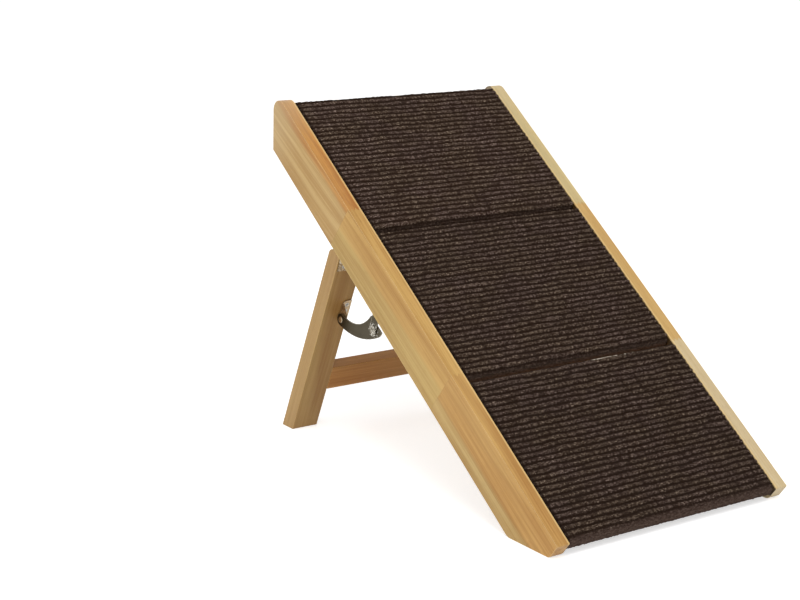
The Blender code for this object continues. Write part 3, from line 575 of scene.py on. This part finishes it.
def side_faces(base, steps, back_steps):
    """The faces that close one side of a carpet, each step of its face joined to the nearest below."""
    nearest = [min(range(back_steps + 1), key=lambda j: abs(j / back_steps - k / steps))
               for k in range(steps + 1)]
    last = base + steps + back_steps + 1
    faces = []
    for k in range(steps):
        ring = [base + k, base + k + 1, last - nearest[k + 1], last - nearest[k]]
        faces.append(tuple(dict.fromkeys(ring)))
    return faces


def mark(mesh, label, values):
    """Stores a number, or three of them, with each point of a mesh."""
    kind, key = ("FLOAT", "value") if len(values) == len(mesh.vertices) else ("FLOAT_VECTOR", "vector")
    mesh.attributes.new(label, kind, "POINT").data.foreach_set(key, values)


def close_up(shell, mesh):
    """Turns every face of a closed shell outwards and writes it to a mesh."""
    bmesh.ops.recalc_face_normals(shell, faces=shell.faces)
    shell.to_mesh(mesh)
    shell.free()


def put(name, data):
    """Puts a mesh, a lamp or a camera into the scene."""
    placed = bpy.data.objects.new(name, data)
    bpy.context.scene.collection.objects.link(placed)
    return placed


def carpet_blank(name, line):
    """The carpet before its ribs: a closed skin with its run, its facing and its pile as attributes."""
    length = line_length(line, FACE_RADIUS)
    steps = STEPS_PER_RIB * round(length / RIB_PITCH)
    back_steps = steps // BACK_COARSER
    section = carpet_section(line, length, steps, back_steps)
    points, runs, facings, piles = zip(*section)
    count = len(section)
    verts, faces = [], []
    for i in range(STEPS_ACROSS + 1):
        x = CARPET_HALF_WIDTH * (2 * i / STEPS_ACROSS - 1)
        verts += [slope_frame @ Vector((x, point.x, point.y)) for point in points]
    for i in range(STEPS_ACROSS):
        for k in range(count):
            a, b = i * count + k, i * count + (k + 1) % count
            faces.append((a, b, b + count, a + count))
    faces += [ring[::-1] for ring in side_faces(0, steps, back_steps)]
    faces += side_faces(STEPS_ACROSS * count, steps, back_steps)
    mesh = bpy.data.meshes.new(name)
    mesh.from_pydata(verts, [], faces)
    turn = slope_frame.to_3x3()
    rows = STEPS_ACROSS + 1
    outs = [value for facing in facings for value in turn @ Vector((0, facing.x, facing.y))]
    mark(mesh, "run", runs * rows)
    mark(mesh, "pile", piles * rows)
    mark(mesh, "out", outs * rows)
    shell = bmesh.new()
    shell.from_mesh(mesh)
    close_up(shell, mesh)
    return put(name, mesh)


def shaping(name, **inputs):
    """A new Geometry Nodes tree with its own named inputs, a Finish among them."""
    given = {"Geometry": "Geometry", **spaced(inputs), "Finish": "Material"}
    return effect(name, given, {"Geometry": "Geometry"}, kind="GeometryNodeTree")


def attribute(tree, label, kind="FLOAT"):
    """What is stored under a name with each point."""
    named = node(tree, "GeometryNodeInputNamedAttribute", {"Name": label}, data_type=kind)
    return named.outputs["Attribute"]


def finished(tree, geometry, material, out):
    """Ends a Geometry Nodes tree with plain geometry in its own finish."""
    real = node(tree, "GeometryNodeRealizeInstances", {"Geometry": geometry})
    done = node(tree, "GeometryNodeSetMaterial", {"Geometry": real.outputs[0], "Material": material})
    feed(tree, out, Geometry=done.outputs[0])


def rib_tree():
    """Raises rows of tufted ribs on a carpet's skin, wandering a little and rounded at both ends."""
    tree, given, out = shaping(
        "carpet_ribs", Rib_Pitch="Float", Rib_Rise="Float", Rib_Shift="Float", Last_Rib="Float",
        Half_Width="Float", End_Round="Float", Tuft_Length="Float", Seed="Float")
    place = node(tree, "GeometryNodeInputPosition").outputs[0]
    x = parted(tree, place)["X"]
    run = attribute(tree, "run")
    pile = attribute(tree, "pile")
    row = maths(tree, "DIVIDE", less(tree, run, given["Rib Shift"]), given["Rib Pitch"])
    slow = vector_of(
        tree, X=times(tree, x, WANDER_CYCLES), Y=times(tree, row, WANDER_A_ROW), Z=given["Seed"])
    wander = less(tree, noise(tree, slow, detail=3.0), 0.5)
    row_here = plus(tree, row, times(tree, wander, RIB_WANDER))
    wave = maths(tree, "ABSOLUTE", maths(tree, "SINE", times(tree, row_here, math.pi)))
    crest = maths(tree, "POWER", wave, 1.05)
    own_row = times(tree, maths(tree, "FLOOR", row_here), ROWS_APART)
    tuft = maths(tree, "DIVIDE", x, given["Tuft Length"])
    tuft_at = vector_of(tree, X=tuft, Y=own_row, Z=given["Seed"])
    beads = eased(tree, noise(tree, tuft_at, detail=2.5), 0.30, 0.68, 0.66, 1.14)
    breaks = eased(tree, noise(tree, tuft_at, BREAK_CYCLES), 0.30, 0.46, 0.72, 1.0)
    ribbed = times(tree, crest, beads, breaks)
    fuzz = less(tree, noise(tree, place, FUZZ_CYCLES), 0.5)
    flattened = plus(tree, PRESSED_FLAT, times(tree, fuzz, 1.2))
    ragged = plus(tree, less(tree, run, given["Last Rib"]), times(tree, fuzz, RAGGED_END))
    smooth = eased(tree, ragged, 0.0, 0.005)
    rise = between(tree, smooth, ribbed, flattened)
    inset = less(tree, given["Half Width"], maths(tree, "ABSOLUTE", x))
    near_end = maths(tree, "SUBTRACT", 1.0, maths(tree, "DIVIDE", inset, given["End Round"]), clamp=True)
    rounding = maths(tree, "SQRT", less(tree, 1.0, times(tree, near_end, near_end)))
    height = plus(tree, times(tree, rise, given["Rib Rise"]), times(tree, fuzz, FELT_FUZZ))
    height = times(tree, height, rounding, pile)
    out_of_board = {0: attribute(tree, "out", "FLOAT_VECTOR"), "Scale": height}
    outward = node(tree, "ShaderNodeVectorMath", out_of_board, operation="SCALE").outputs[0]
    swell = times(tree, less(tree, ribbed, 0.72), TUFT_SWELL, near_end, pile, less(tree, 1.0, smooth))
    sideways = times(tree, maths(tree, "MINIMUM", swell, TUFT_SWELL_LIMIT), maths(tree, "SIGN", x))
    offset = vector_maths(tree, "ADD", outward, vector_of(tree, X=sideways))
    skin = given["Geometry"]
    for label, value in (("rise", rise), ("smooth", smooth)):
        sockets = {"Geometry": skin, "Name": label, "Value": value}
        stored = node(tree, "GeometryNodeStoreNamedAttribute", sockets, data_type="FLOAT", domain="POINT")
        skin = stored.outputs[0]
    raised = node(tree, "GeometryNodeSetPosition", {"Geometry": skin, "Offset": offset})
    finished(tree, raised.outputs[0], given["Finish"], out)
    return tree


def grow(piece, tree, **inputs):
    """Runs a Geometry Nodes tree on a piece and keeps the result as its plain mesh."""
    modifier = piece.modifiers.new(tree.name, "NODES")
    modifier.node_group = tree
    sockets = [item for item in tree.interface.items_tree if item.in_out == "INPUT"]
    identifiers = {socket.name: socket.identifier for socket in sockets}
    for label, value in spaced(inputs).items():
        modifier[identifiers[label]] = value
    bpy.context.view_layer.update()
    graph = bpy.context.evaluated_depsgraph_get()
    mesh = bpy.data.meshes.new_from_object(
        piece.evaluated_get(graph), preserve_all_data_layers=True, depsgraph=graph)
    piece.modifiers.remove(modifier)
    old = piece.data
    piece.data = mesh
    mesh.name = piece.name
    bpy.data.meshes.remove(old)


def carpet_finish(name, last_rib, rib_shift, nose_painted_light, shade):
    """Brown felt: grooves painted near-black as shade, flecked crests, a slow drift from purple to olive,
    latex beneath.
    """
    material, tree, shader = blank(name, Specular_IOR_Level=FELT_GLOSS, Sheen_Weight=FELT_SHEEN,
                                   Sheen_Roughness=SHEEN_ROUGH, Sheen_Tint=SHEEN_TINT)
    rise, run, smooth = [node(tree, "ShaderNodeAttribute", attribute_name=label).outputs["Fac"]
                         for label in ("rise", "run", "smooth")]
    at = seen_from(tree, slope_frame)
    place = parted(tree, at)
    fibre = noise(tree, at, FELT_FIBRE_CYCLES, detail=3, roughness=0.7)
    fleck = noise(tree, at, FLECK_CYCLES, roughness=0.6)
    crest = eased(tree, rise, 0.26, 0.98)
    # Painted shade: the grooves between the ribs are coloured near-black and the crests lighter.
    colour = mixed(tree, crest, GROOVE_SHADE, CREST_BROWN)
    light = times(tree, eased(tree, fleck, 0.50, 0.60), crest)
    colour = painted(tree, colour, CREST_FLECK, light, strength=0.85)
    dark = plus(tree, eased(tree, fibre, 0.52, 0.38, end=0.45), eased(tree, fleck, 0.48, 0.38, end=0.55))
    colour = painted(tree, colour, DARK_FIBRE, dark, strength=0.9)
    sparse = eased(tree, noise(tree, at, PALE_FIBRE_CYCLES, detail=1), 0.63, 0.71)
    bright = times(tree, sparse, eased(tree, rise, 0.4, 0.8))
    colour = painted(tree, colour, PALE_FIBRE, bright, strength=0.8)
    patch = eased(tree, noise(tree, at, HUE_CYCLES, detail=3), 0.38, 0.60)
    colour = mixed(tree, 1.0, colour, mixed(tree, patch, PURPLE_CAST, OLIVE_CAST), "MULTIPLY")
    own_row = maths(tree, "FLOOR", maths(tree, "DIVIDE", less(tree, run, rib_shift), RIB_PITCH))
    row_at = vector_of(
        tree, X=times(tree, place["X"], ROW_TONE_CYCLES), Y=times(tree, own_row, TONE_A_ROW))
    tone = eased(tree, noise(tree, row_at), 0.36, 0.62, end=0.22)
    colour = mixed(tree, tone, colour, DULL_ROW)
    # Painted light: the nose runs from a darker tone at the bend to a lighter one lower down, against the
    # shade in the seam.
    down_nose = eased(tree, less(tree, run, last_rib), *DOWN_NOSE)
    nose_with_painted_light = mixed(tree, down_nose, *nose_painted_light)
    nose_with_painted_light = painted(tree, nose_with_painted_light, NOSE_FLECK, eased(tree, fleck, 0.50, 0.62), strength=0.4)
    nose_with_painted_light = painted(tree, nose_with_painted_light, NOSE_DARK_FIBRE, dark, strength=0.7)
    colour = mixed(tree, 1.0, mixed(tree, smooth, colour, nose_with_painted_light), (shade, shade, shade, 1), "MULTIPLY")
    beside_rail = eased(tree, place["X"], *BESIDE_RAIL)
    colour = painted(tree, colour, SIDE_SHADOW, beside_rail, strength=0.75)
    in_reach = times(tree, eased(tree, place["X"], *THREAD_START), eased(tree, place["X"], *THREAD_END))
    on_lower_panel = maths(tree, "LESS_THAN", place["Y"], PANEL_PITCH)
    at_cut = times(tree, maths(tree, "LESS_THAN", run, CUT_DEPTH), on_lower_panel)
    broken = plus(tree, noise(tree, at, THREAD_CYCLES), eased(tree, place["X"], *THREAD_THINS, end=0.16))
    frayed = times(tree, in_reach, at_cut, eased(tree, broken, 0.50, 0.57))
    colour = mixed(tree, frayed, colour, LOOSE_THREAD)
    latex = mixed(tree, eased(tree, fibre, 0.35, 0.65), LATEX_PALE, LATEX_STAINED)
    on_back = maths(tree, "LESS_THAN", run, -0.00001)
    colour = mixed(tree, on_back, colour, latex)
    feed(tree, shader.inputs, Base_Color=colour, Roughness=eased(tree, fibre, 0.3, 0.7, 0.85, 1.0))
    bumped(tree, shader, plus(tree, times(tree, fibre, 0.5), times(tree, fleck, 0.7)), NAP_DEPTH)
    return material


ribs = rib_tree()
for number, (panel, own) in enumerate(PANELS.items()):
    low = number * PANEL_PITCH
    line = wrapped_line(low, low + PANEL_LENGTH - own["cut_short"], panel == "lower")
    carpet = carpet_blank(panel + "_ribbed_carpet", line)
    last_rib = line_length(line[:1], 0.0) + own["past_bend"]
    ribbed_felt = carpet_finish(
        panel + "_ribbed_felt", last_rib, own["rib_shift"], own["nose_painted_light"], own["shade"])
    grow(carpet, ribs, Rib_Pitch=RIB_PITCH, Rib_Rise=RIB_RISE, Rib_Shift=own["rib_shift"], Last_Rib=last_rib,
         Half_Width=CARPET_HALF_WIDTH, End_Round=RIB_END_ROUND, Tuft_Length=TUFT_LENGTH,
         Seed=FIRST_SEED + SEED_STEP * number, Finish=ribbed_felt)
    carpet.data.shade_smooth()
    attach(carpet, "ramp")
    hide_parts(panel + "_carpet")

# Leg frame: two rubberwood legs that stop against the rails' undersides, and a stretcher between
# them. Their grain runs along their length; the feet are sawn to the floor.
LEG_TILT = math.radians(22.2)
leg_frame_axes = Matrix.Translation(hinge) @ Matrix.Rotation(LEG_TILT, 4, "X")
leg_grain = leg_frame_axes @ Matrix.Rotation(math.pi / 2, 4, "X")
stretcher_grain = leg_frame_axes @ turned_across
LEG_FRAME_WOODS = {
    "left_leg": ("left_leg_wood", leg_grain, (178, 150, 94), (172, 136, 83), 0.17, 0.8),
    "right_leg": ("right_leg_wood", leg_grain, (182, 152, 98), (175, 138, 87), 0.63, 0.8),
    "leg_stretcher": ("stretcher_wood", stretcher_grain, (205, 153, 82), (194, 140, 72), 0.37, 1.3),
}
for piece, wood in LEG_FRAME_WOODS.items():
    finish_cad(plain_wood(*wood), piece)

# Hinges: a pair of butt hinges of folded steel, bright zinc-plated, each with five knuckles about a pin.
# One leaf is screwed up under the ramp, the other to the front face of the leg.
CLOUD_CYCLES = (60, 60, 60)
MOTTLE_CYCLES = (420, 420, 420)
SPECK_CYCLES = (1400, 1400, 1400)
ROLLING_CYCLES = (120, 120, 2600)
GLINT_CYCLES = (520, 520, 520)
GLINT_RADIUS = (0.0135, 0.0085)
PLATING_DEPTH = 0.00004
GLINT_SPECK = (236, 232, 222)


def plating_effect():
    """Thin plating on sheet steel: rolling lines, coarse mottling and fine specks."""
    tree, given, out = effect(
        "plating",
        {"Vector": "Vector", "Bright": "Color", "Dull": "Color", "Mottle": "Float"},
        {"Color": "Color", "Roughness": "Float", "Height": "Float"})
    at = given["Vector"]
    cloud = noise(tree, at, CLOUD_CYCLES, detail=4, roughness=0.6)
    mottle = noise(tree, at, MOTTLE_CYCLES, detail=3, roughness=0.65)
    speck = noise(tree, at, SPECK_CYCLES, roughness=0.6)
    rolled = noise(tree, at, ROLLING_CYCLES)
    fine = plus(tree, eased(tree, cloud, 0.35, 0.7, end=0.3), eased(tree, speck, 0.5, 0.75, end=0.3))
    coarse = times(tree, eased(tree, mottle, 0.44, 0.56), given["Mottle"])
    colour = mixed(tree, maths(tree, "ADD", fine, coarse, clamp=True), given["Bright"], given["Dull"])
    rough = plus(tree, times(tree, cloud, 0.22), times(tree, rolled, 0.12), 0.16)
    height = plus(tree, times(tree, rolled, 0.5), times(tree, speck, 0.5))
    feed(tree, out, Color=colour, Roughness=rough, Height=height)
    return tree


plating = plating_effect()


def plated_finish(name, bright, dull, mottle, edge=(232, 228, 216), edge_width=0.0004, pivot=None):
    """Plated steel; round a pivot, given in world metres, painted glints are laid on as pale specks."""
    material, tree, shader = blank(name, Metallic=1.0)
    place = node(tree, "ShaderNodeTexCoord").outputs["Object"]
    metal = use(tree, plating, Vector=place, Bright=tinted(*bright), Dull=tinted(*dull), Mottle=mottle)
    worn_and_lit = use(tree, edge_wear_and_highlight, Width=edge_width)["Mask"]
    # The plate's edges are painted paler, partly as wear and partly as painted highlight.
    colour = painted(tree, metal["Color"], edge, worn_and_lit, strength=0.6)
    # Painted highlight: pale glints speckled round the pivot.
    if pivot:
        from_pivot = vector_maths(tree, "MULTIPLY", vector_maths(tree, "SUBTRACT", place, pivot), (0, 1, 1))
        near = eased(tree, vector_maths(tree, "LENGTH", from_pivot), *GLINT_RADIUS)
        glints = eased(tree, noise(tree, place, GLINT_CYCLES), 0.57, 0.62)
        colour = mixed(tree, times(tree, near, glints), colour, GLINT_SPECK)
    feed(tree, shader.inputs, Base_Color=colour, Roughness=metal["Roughness"])
    bumped(tree, shader, metal["Height"], PLATING_DEPTH)
    return material


zinc_plate = plated_finish("zinc_plate", (192, 174, 144), (120, 100, 72), mottle=0.6)
for side in ("left", "right"):
    finish_cad(zinc_plate, side + "_frame_leaf", side + "_leg_leaf", side + "_hinge_pin")

# Stays: on each side a steel crescent and a short link, nickel-plated and riveted so that they fold.
# The crescent turns on an angle bracket on the leg, the link on a stud in the rail's inner face.
rivet_low, rivet_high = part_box("left_middle_rivet")
rivet_place = (0.0, *((rivet_low + rivet_high) / 2)[1:])
# Painted reflection: the crescents and links are coloured dark, standing in for the dark surroundings that
# their plating reflects.
dark_reflection_plate = plated_finish(
    "dark_reflection_plate", (75, 68, 53), (60, 54, 41), mottle=0.2, edge=(222, 214, 194), edge_width=0.0012,
    pivot=rivet_place)
bracket_plate = plated_finish("bracket_plate", (204, 184, 152), (136, 114, 86), mottle=0.5)
bright_plate = plated_finish("bright_plate", (224, 222, 214), (120, 112, 96), mottle=0.8)
# The rivet heads are coloured dark as well, as painted reflection like the crescents.
rivet_plate = plated_finish(
    "rivet_plate", (150, 144, 128), (74, 66, 50), mottle=0.7, edge=(236, 232, 222), edge_width=0.0003,
    pivot=rivet_place)
for side in ("left", "right"):
    finish_cad(bracket_plate, side + "_stay_bracket", side + "_leg_rivet")
    finish_cad(dark_reflection_plate, side + "_crescent_arm", side + "_stay_link")
    finish_cad(bright_plate, side + "_stay_stud")

# Rosette rivets: the rivet that joins crescent and link on each side, its heads pressed with a ring
# of small teeth round a low dome, so that they glitter.
RIVET_GRIP = 0.0033
RIVET_SHANK = 0.0025
RIVET_PLAY = 0.0003
ROSETTE_RIM = 0.0065
ROSETTE_EDGE = 0.0005
ROSETTE_HEAD = 0.0010
ROSETTE_SINK = 0.00045
DOME_RADIUS = 0.0022
DOME_FALL = 0.0001
DOME_FOOT = 0.0031
ROSETTE_TEETH = 14
TOOTH_SIZE = (0.0019, 0.0007, 0.00055)
TOOTH_RING = 0.0044
TOOTH_SEGMENTS = 10
TOOTH_RINGS = 6
TURNED_STEPS = 48
SHARP_ANGLE = math.radians(35)


def turned_piece(name, profile):
    """A closed turned mesh about Z, from (radius, height) points read from the top down."""
    shell = bmesh.new()
    rings = []
    for radius, height in profile:
        if radius == 0:
            rings.append([shell.verts.new((0, 0, height))] * TURNED_STEPS)
            continue
        turns = (2 * math.pi * k / TURNED_STEPS for k in range(TURNED_STEPS))
        rings.append([shell.verts.new((radius * math.cos(a), radius * math.sin(a), height)) for a in turns])
    for upper, lower in zip(rings, rings[1:]):
        for k in range(TURNED_STEPS):
            m = (k + 1) % TURNED_STEPS
            shell.faces.new(list(dict.fromkeys([upper[k], lower[k], lower[m], upper[m]])))
    mesh = bpy.data.meshes.new(name)
    close_up(shell, mesh)
    return put(name, mesh)


def moved(tree, geometry, **how):
    """Geometry moved, turned or scaled."""
    return node(tree, "GeometryNodeTransform", {"Geometry": geometry, **how}).outputs[0]


def set_out(tree, points, piece, turn):
    """A copy of a piece on each point, turned as said."""
    sockets = {"Points": points, "Instance": piece, "Rotation": turn}
    return node(tree, "GeometryNodeInstanceOnPoints", sockets).outputs[0]


def joined(tree, *parts):
    """Pieces of geometry put together."""
    whole = node(tree, "GeometryNodeJoinGeometry")
    for part in parts:
        tree.links.new(part, whole.inputs[0])
    return whole.outputs[0]


def rosette_tree():
    """Sets a ring of long low teeth on both heads of a turned rivet."""
    tree, given, out = shaping(
        "rosette_teeth", Teeth="Int", Ring="Float", Tooth="Vector", Head_Level="Float")
    ring = node(tree, "GeometryNodeMeshCircle", {"Vertices": given["Teeth"], "Radius": given["Ring"]})
    ball = node(tree, "GeometryNodeMeshUVSphere", {
        "Segments": TOOTH_SEGMENTS, "Rings": TOOTH_RINGS, "Radius": 1.0})
    tooth = moved(tree, ball.outputs["Mesh"], Scale=given["Tooth"])
    place = node(tree, "GeometryNodeInputPosition").outputs[0]
    outwards = node(tree, "FunctionNodeAlignRotationToVector", {"Vector": place}, axis="X").outputs[0]
    teeth = set_out(tree, ring.outputs["Mesh"], tooth, outwards)
    levels = [vector_of(tree, Z=times(tree, given["Head Level"], way)) for way in (1.0, -1.0)]
    both_heads = [moved(tree, teeth, Translation=level) for level in levels]
    finished(tree, joined(tree, given["Geometry"], *both_heads), given["Finish"], out)
    return tree


rosette_teeth = rosette_tree()
head_start = RIVET_GRIP / 2 + RIVET_PLAY
head_top = head_start + ROSETTE_HEAD
tooth_level = head_top - ROSETTE_SINK
half_profile = [(0, head_top), (DOME_RADIUS, head_top - DOME_FALL), (DOME_FOOT, tooth_level),
                (ROSETTE_RIM - ROSETTE_EDGE, tooth_level), (ROSETTE_RIM, head_start + ROSETTE_EDGE / 2),
                (ROSETTE_RIM, head_start), (RIVET_SHANK, head_start)]
whole_profile = half_profile + [(radius, -height) for radius, height in reversed(half_profile)]
for side in ("left", "right"):
    low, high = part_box(side + "_middle_rivet")
    rivet = turned_piece(side + "_rosette_rivet", whole_profile)
    grow(rivet, rosette_teeth, Teeth=ROSETTE_TEETH, Ring=TOOTH_RING, Tooth=TOOTH_SIZE,
         Head_Level=tooth_level, Finish=rivet_plate)
    rivet.data.transform(Matrix.Translation((low + high) / 2) @ Matrix.Rotation(math.pi / 2, 4, "Y"))
    rivet.data.shade_smooth()
    rivet.data.set_sharp_from_angle(angle=SHARP_ANGLE)
    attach(rivet, side + "_crescent_arm")
    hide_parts(side + "_middle_rivet")

# Wood screws: zinc-plated countersunk screws with cross recesses and rolled threads, two in each
# leaf and two in each bracket, driven in with their crosses at any angle.
SCREW_HEAD_RADIUS = 0.0032
SCREW_SHANK_RADIUS = 0.0016
SCREW_TIP_RADIUS = 0.0004
SCREW_LENGTH = 0.013
SCREW_HEAD_SIDES = 32
SCREW_SHANK_SIDES = 16
RECESS_SIZE = (0.0040, 0.0009, 0.0026)
THREAD_TURNS = 8.0
THREAD_DEPTH = 0.00035
THREAD_START_RADIUS = 0.0005
THREAD_ON_SHANK = 0.9
THREADED_SHARE = 0.8
THREAD_STEPS = 12
THREAD_SIDES = 4
FIRST_CROSS_TURN = 0.4
NEXT_CROSS_TURN = 1.1


def cone(tree, sides, top, bottom, depth):
    """A plain cone that stands on its smaller end."""
    sockets = {"Vertices": sides, "Side Segments": 1, "Radius Top": top, "Radius Bottom": bottom,
               "Depth": depth}
    return node(tree, "GeometryNodeMeshCone", sockets).outputs["Mesh"]


def screw_tree():
    """Sets a countersunk cross-recess screw at each point, turned as the point's attribute says."""
    tree, given, out = shaping(
        "cross_screws", Head_Radius="Float", Shank_Radius="Float", Length="Float", Recess="Vector",
        Turns="Float", Thread_Depth="Float")
    flare = less(tree, given["Head Radius"], given["Shank Radius"])
    below_head = less(tree, given["Length"], flare)
    sunk = vector_of(tree, Z=times(tree, given["Length"], -1.0))
    head = cone(tree, SCREW_HEAD_SIDES, given["Head Radius"], given["Shank Radius"], flare)
    seated = moved(tree, head, Translation=vector_of(tree, Z=times(tree, flare, -1.0)))
    slot = node(tree, "GeometryNodeMeshCube", {"Size": given["Recess"]}).outputs["Mesh"]
    cut = node(tree, "GeometryNodeMeshBoolean", {"Mesh 1": seated}, operation="DIFFERENCE")
    for arm in (slot, moved(tree, slot, Rotation=(0, 0, math.pi / 2))):
        tree.links.new(arm, cut.inputs["Mesh 2"])
    tapered = cone(tree, SCREW_SHANK_SIDES, given["Shank Radius"], SCREW_TIP_RADIUS, below_head)
    shank = moved(tree, tapered, Translation=sunk)
    coil = node(tree, "GeometryNodeCurveSpiral", {
        "Resolution": THREAD_STEPS, "Rotations": given["Turns"], "Start Radius": THREAD_START_RADIUS,
        "End Radius": times(tree, given["Shank Radius"], THREAD_ON_SHANK),
        "Height": times(tree, below_head, THREADED_SHARE)})
    ridge_size = {"Resolution": THREAD_SIDES, "Radius": given["Thread Depth"]}
    ridge = node(tree, "GeometryNodeCurvePrimitiveCircle", ridge_size, mode="RADIUS")
    thread = node(tree, "GeometryNodeCurveToMesh", {
        "Curve": moved(tree, coil.outputs[0], Translation=sunk), "Profile Curve": ridge.outputs["Curve"],
        "Fill Caps": True})
    whole = joined(tree, cut.outputs["Mesh"], shank, thread.outputs[0])
    screws = set_out(tree, given["Geometry"], whole, attribute(tree, "turn", "FLOAT_VECTOR"))
    finished(tree, screws, given["Finish"], out)
    return tree


def screw_heads(name, nodes, facing):
    """A point on each CAD screw's head, with the turn that stands a screw on it."""
    upright = facing.to_track_quat("Z", "Y").to_matrix().to_4x4()
    points, turns = [], []
    for number, screw in enumerate(nodes):
        corners = [vertex.co for vertex in frame["nodes"][screw].data.vertices]
        middle = sum(corners, Vector()) / len(corners)
        top = max(corner.dot(facing) for corner in corners)
        points.append(middle + (top - middle.dot(facing)) * facing)
        turns += (upright @ Matrix.Rotation(FIRST_CROSS_TURN + NEXT_CROSS_TURN * number, 4, "Z")).to_euler()
    mesh = bpy.data.meshes.new(name)
    mesh.from_pydata(points, [], [])
    mark(mesh, "turn", turns)
    return put(name, mesh)


cross_screws = screw_tree()
screw_steel = plated_finish("screw_steel", (214, 212, 206), (140, 134, 122), mottle=0.5)
all_screws = [name for name in sorted(frame["nodes"]) if "_screw_" in name]
ramp_screws = [name for name in all_screws if "_frame_screw_" in name]
leg_screws = [name for name in all_screws if name not in ramp_screws]
ahead_of_leg = (leg_frame_axes.to_3x3() @ Vector((0, -1, 0))).normalized()
screw_groups = (("ramp", ramp_screws, -square_to_rail), ("leg_frame", leg_screws, ahead_of_leg))
for body, screws, facing in screw_groups:
    piece = screw_heads(body + "_cross_screws", screws, facing)
    grow(piece, cross_screws, Head_Radius=SCREW_HEAD_RADIUS, Shank_Radius=SCREW_SHANK_RADIUS,
         Length=SCREW_LENGTH, Recess=RECESS_SIZE, Turns=THREAD_TURNS, Thread_Depth=THREAD_DEPTH,
         Finish=screw_steel)
    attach(piece, body)
    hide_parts(*screws)

# Studio: a pale floor with no edge in sight, under a large key lamp, a lamp from the left and a low
# one in front. The camera stands low on the left of the ramp's foot, with a long lens, slightly tilted.
CAMERA_PLACE = (-1.52134, -1.80036, 0.81568)
CAMERA_YAW = math.radians(36.167)
CAMERA_PITCH = math.radians(14.168)
CAMERA_ROLL = math.radians(1.501)
CAMERA_LENS = 79.443
SENSOR_WIDTH = 36.0
NEAREST_SEEN = 0.05
FLOOR_HALF_SIZE = 30.0
FLOOR_DROP = 0.0005
FLOOR_GREY = (0.86, 0.86, 0.86, 1.0)
FLOOR_ROUGH = 0.9
FLOOR_GLOSS = 0.1
FLOOR_GLOW = 0.60
SKY_LIGHT = 0.55
WHITE = (1, 1, 1, 1)

# For each lamp: where it stands, what it is aimed at, its width in metres and its power in watts
LAMPS = {
    "key_lamp": ((-0.6, -1.2, 2.6), (0, 0, 0.2), 1.6, 32),
    "side_lamp": ((-2.6, 0.2, 1.2), (0, 0, 0.2), 1.6, 13),
    "low_lamp": ((-1.9, -2.0, 0.6), (0, 0.1, 0.15), 1.2, 9),
}

camera_data = bpy.data.cameras.new("camera")
camera_data.lens = CAMERA_LENS
camera_data.sensor_width = SENSOR_WIDTH
camera_data.sensor_fit = "HORIZONTAL"
camera_data.clip_start = NEAREST_SEEN
camera = put("camera", camera_data)
level_share = math.cos(CAMERA_PITCH)
ahead = Vector((
    math.sin(CAMERA_YAW) * level_share, math.cos(CAMERA_YAW) * level_share, -math.sin(CAMERA_PITCH)))
level_right = Vector((math.cos(CAMERA_YAW), -math.sin(CAMERA_YAW), 0))
level_up = level_right.cross(ahead)
right = math.cos(CAMERA_ROLL) * level_right + math.sin(CAMERA_ROLL) * level_up
up = math.cos(CAMERA_ROLL) * level_up - math.sin(CAMERA_ROLL) * level_right
camera.matrix_world = Matrix.Translation(CAMERA_PLACE) @ Matrix((right, up, -ahead)).transposed().to_4x4()
bpy.context.scene.camera = camera


def seen_directly(tree):
    """1 for rays from the camera, also by way of a gloss or a clear piece, and 0 for rays that light."""
    rays = node(tree, "ShaderNodeLightPath").outputs
    passed_on = maths(tree, "MAXIMUM", rays["Is Glossy Ray"], rays["Is Transmission Ray"])
    return maths(tree, "MAXIMUM", rays["Is Camera Ray"], passed_on)


floor_mesh = bpy.data.meshes.new("studio_floor")
shell = bmesh.new()
bmesh.ops.create_grid(shell, x_segments=1, y_segments=1, size=FLOOR_HALF_SIZE)
shell.to_mesh(floor_mesh)
shell.free()
floor = put("studio_floor", floor_mesh)
floor.location = (0, 0, -FLOOR_DROP)
floor_paint, tree, shader = blank("pale_floor", Base_Color=FLOOR_GREY, Roughness=FLOOR_ROUGH,
                                  Specular_IOR_Level=FLOOR_GLOSS, Emission_Color=WHITE)
feed(tree, shader.inputs, Emission_Strength=times(tree, seen_directly(tree), FLOOR_GLOW))
floor_mesh.materials.append(floor_paint)

for name, (place, aim, size, power) in LAMPS.items():
    light = bpy.data.lights.new(name, "AREA")
    light.shape = "SQUARE"
    light.size = size
    light.energy = power
    lamp = put(name, light)
    lamp.location = place
    lamp.rotation_euler = (Vector(aim) - Vector(place)).to_track_quat("-Z", "Y").to_euler()

world = bpy.data.worlds.new("studio_world")
bpy.context.scene.world = world
world.use_nodes = True
sky = world.node_tree
backdrop = sky.nodes["Background"].inputs
backdrop["Color"].default_value = WHITE
feed(sky, backdrop, Strength=eased(sky, seen_directly(sky), 0.0, 1.0, start=SKY_LIGHT))
bpy.context.scene.view_settings.view_transform = "Standard"
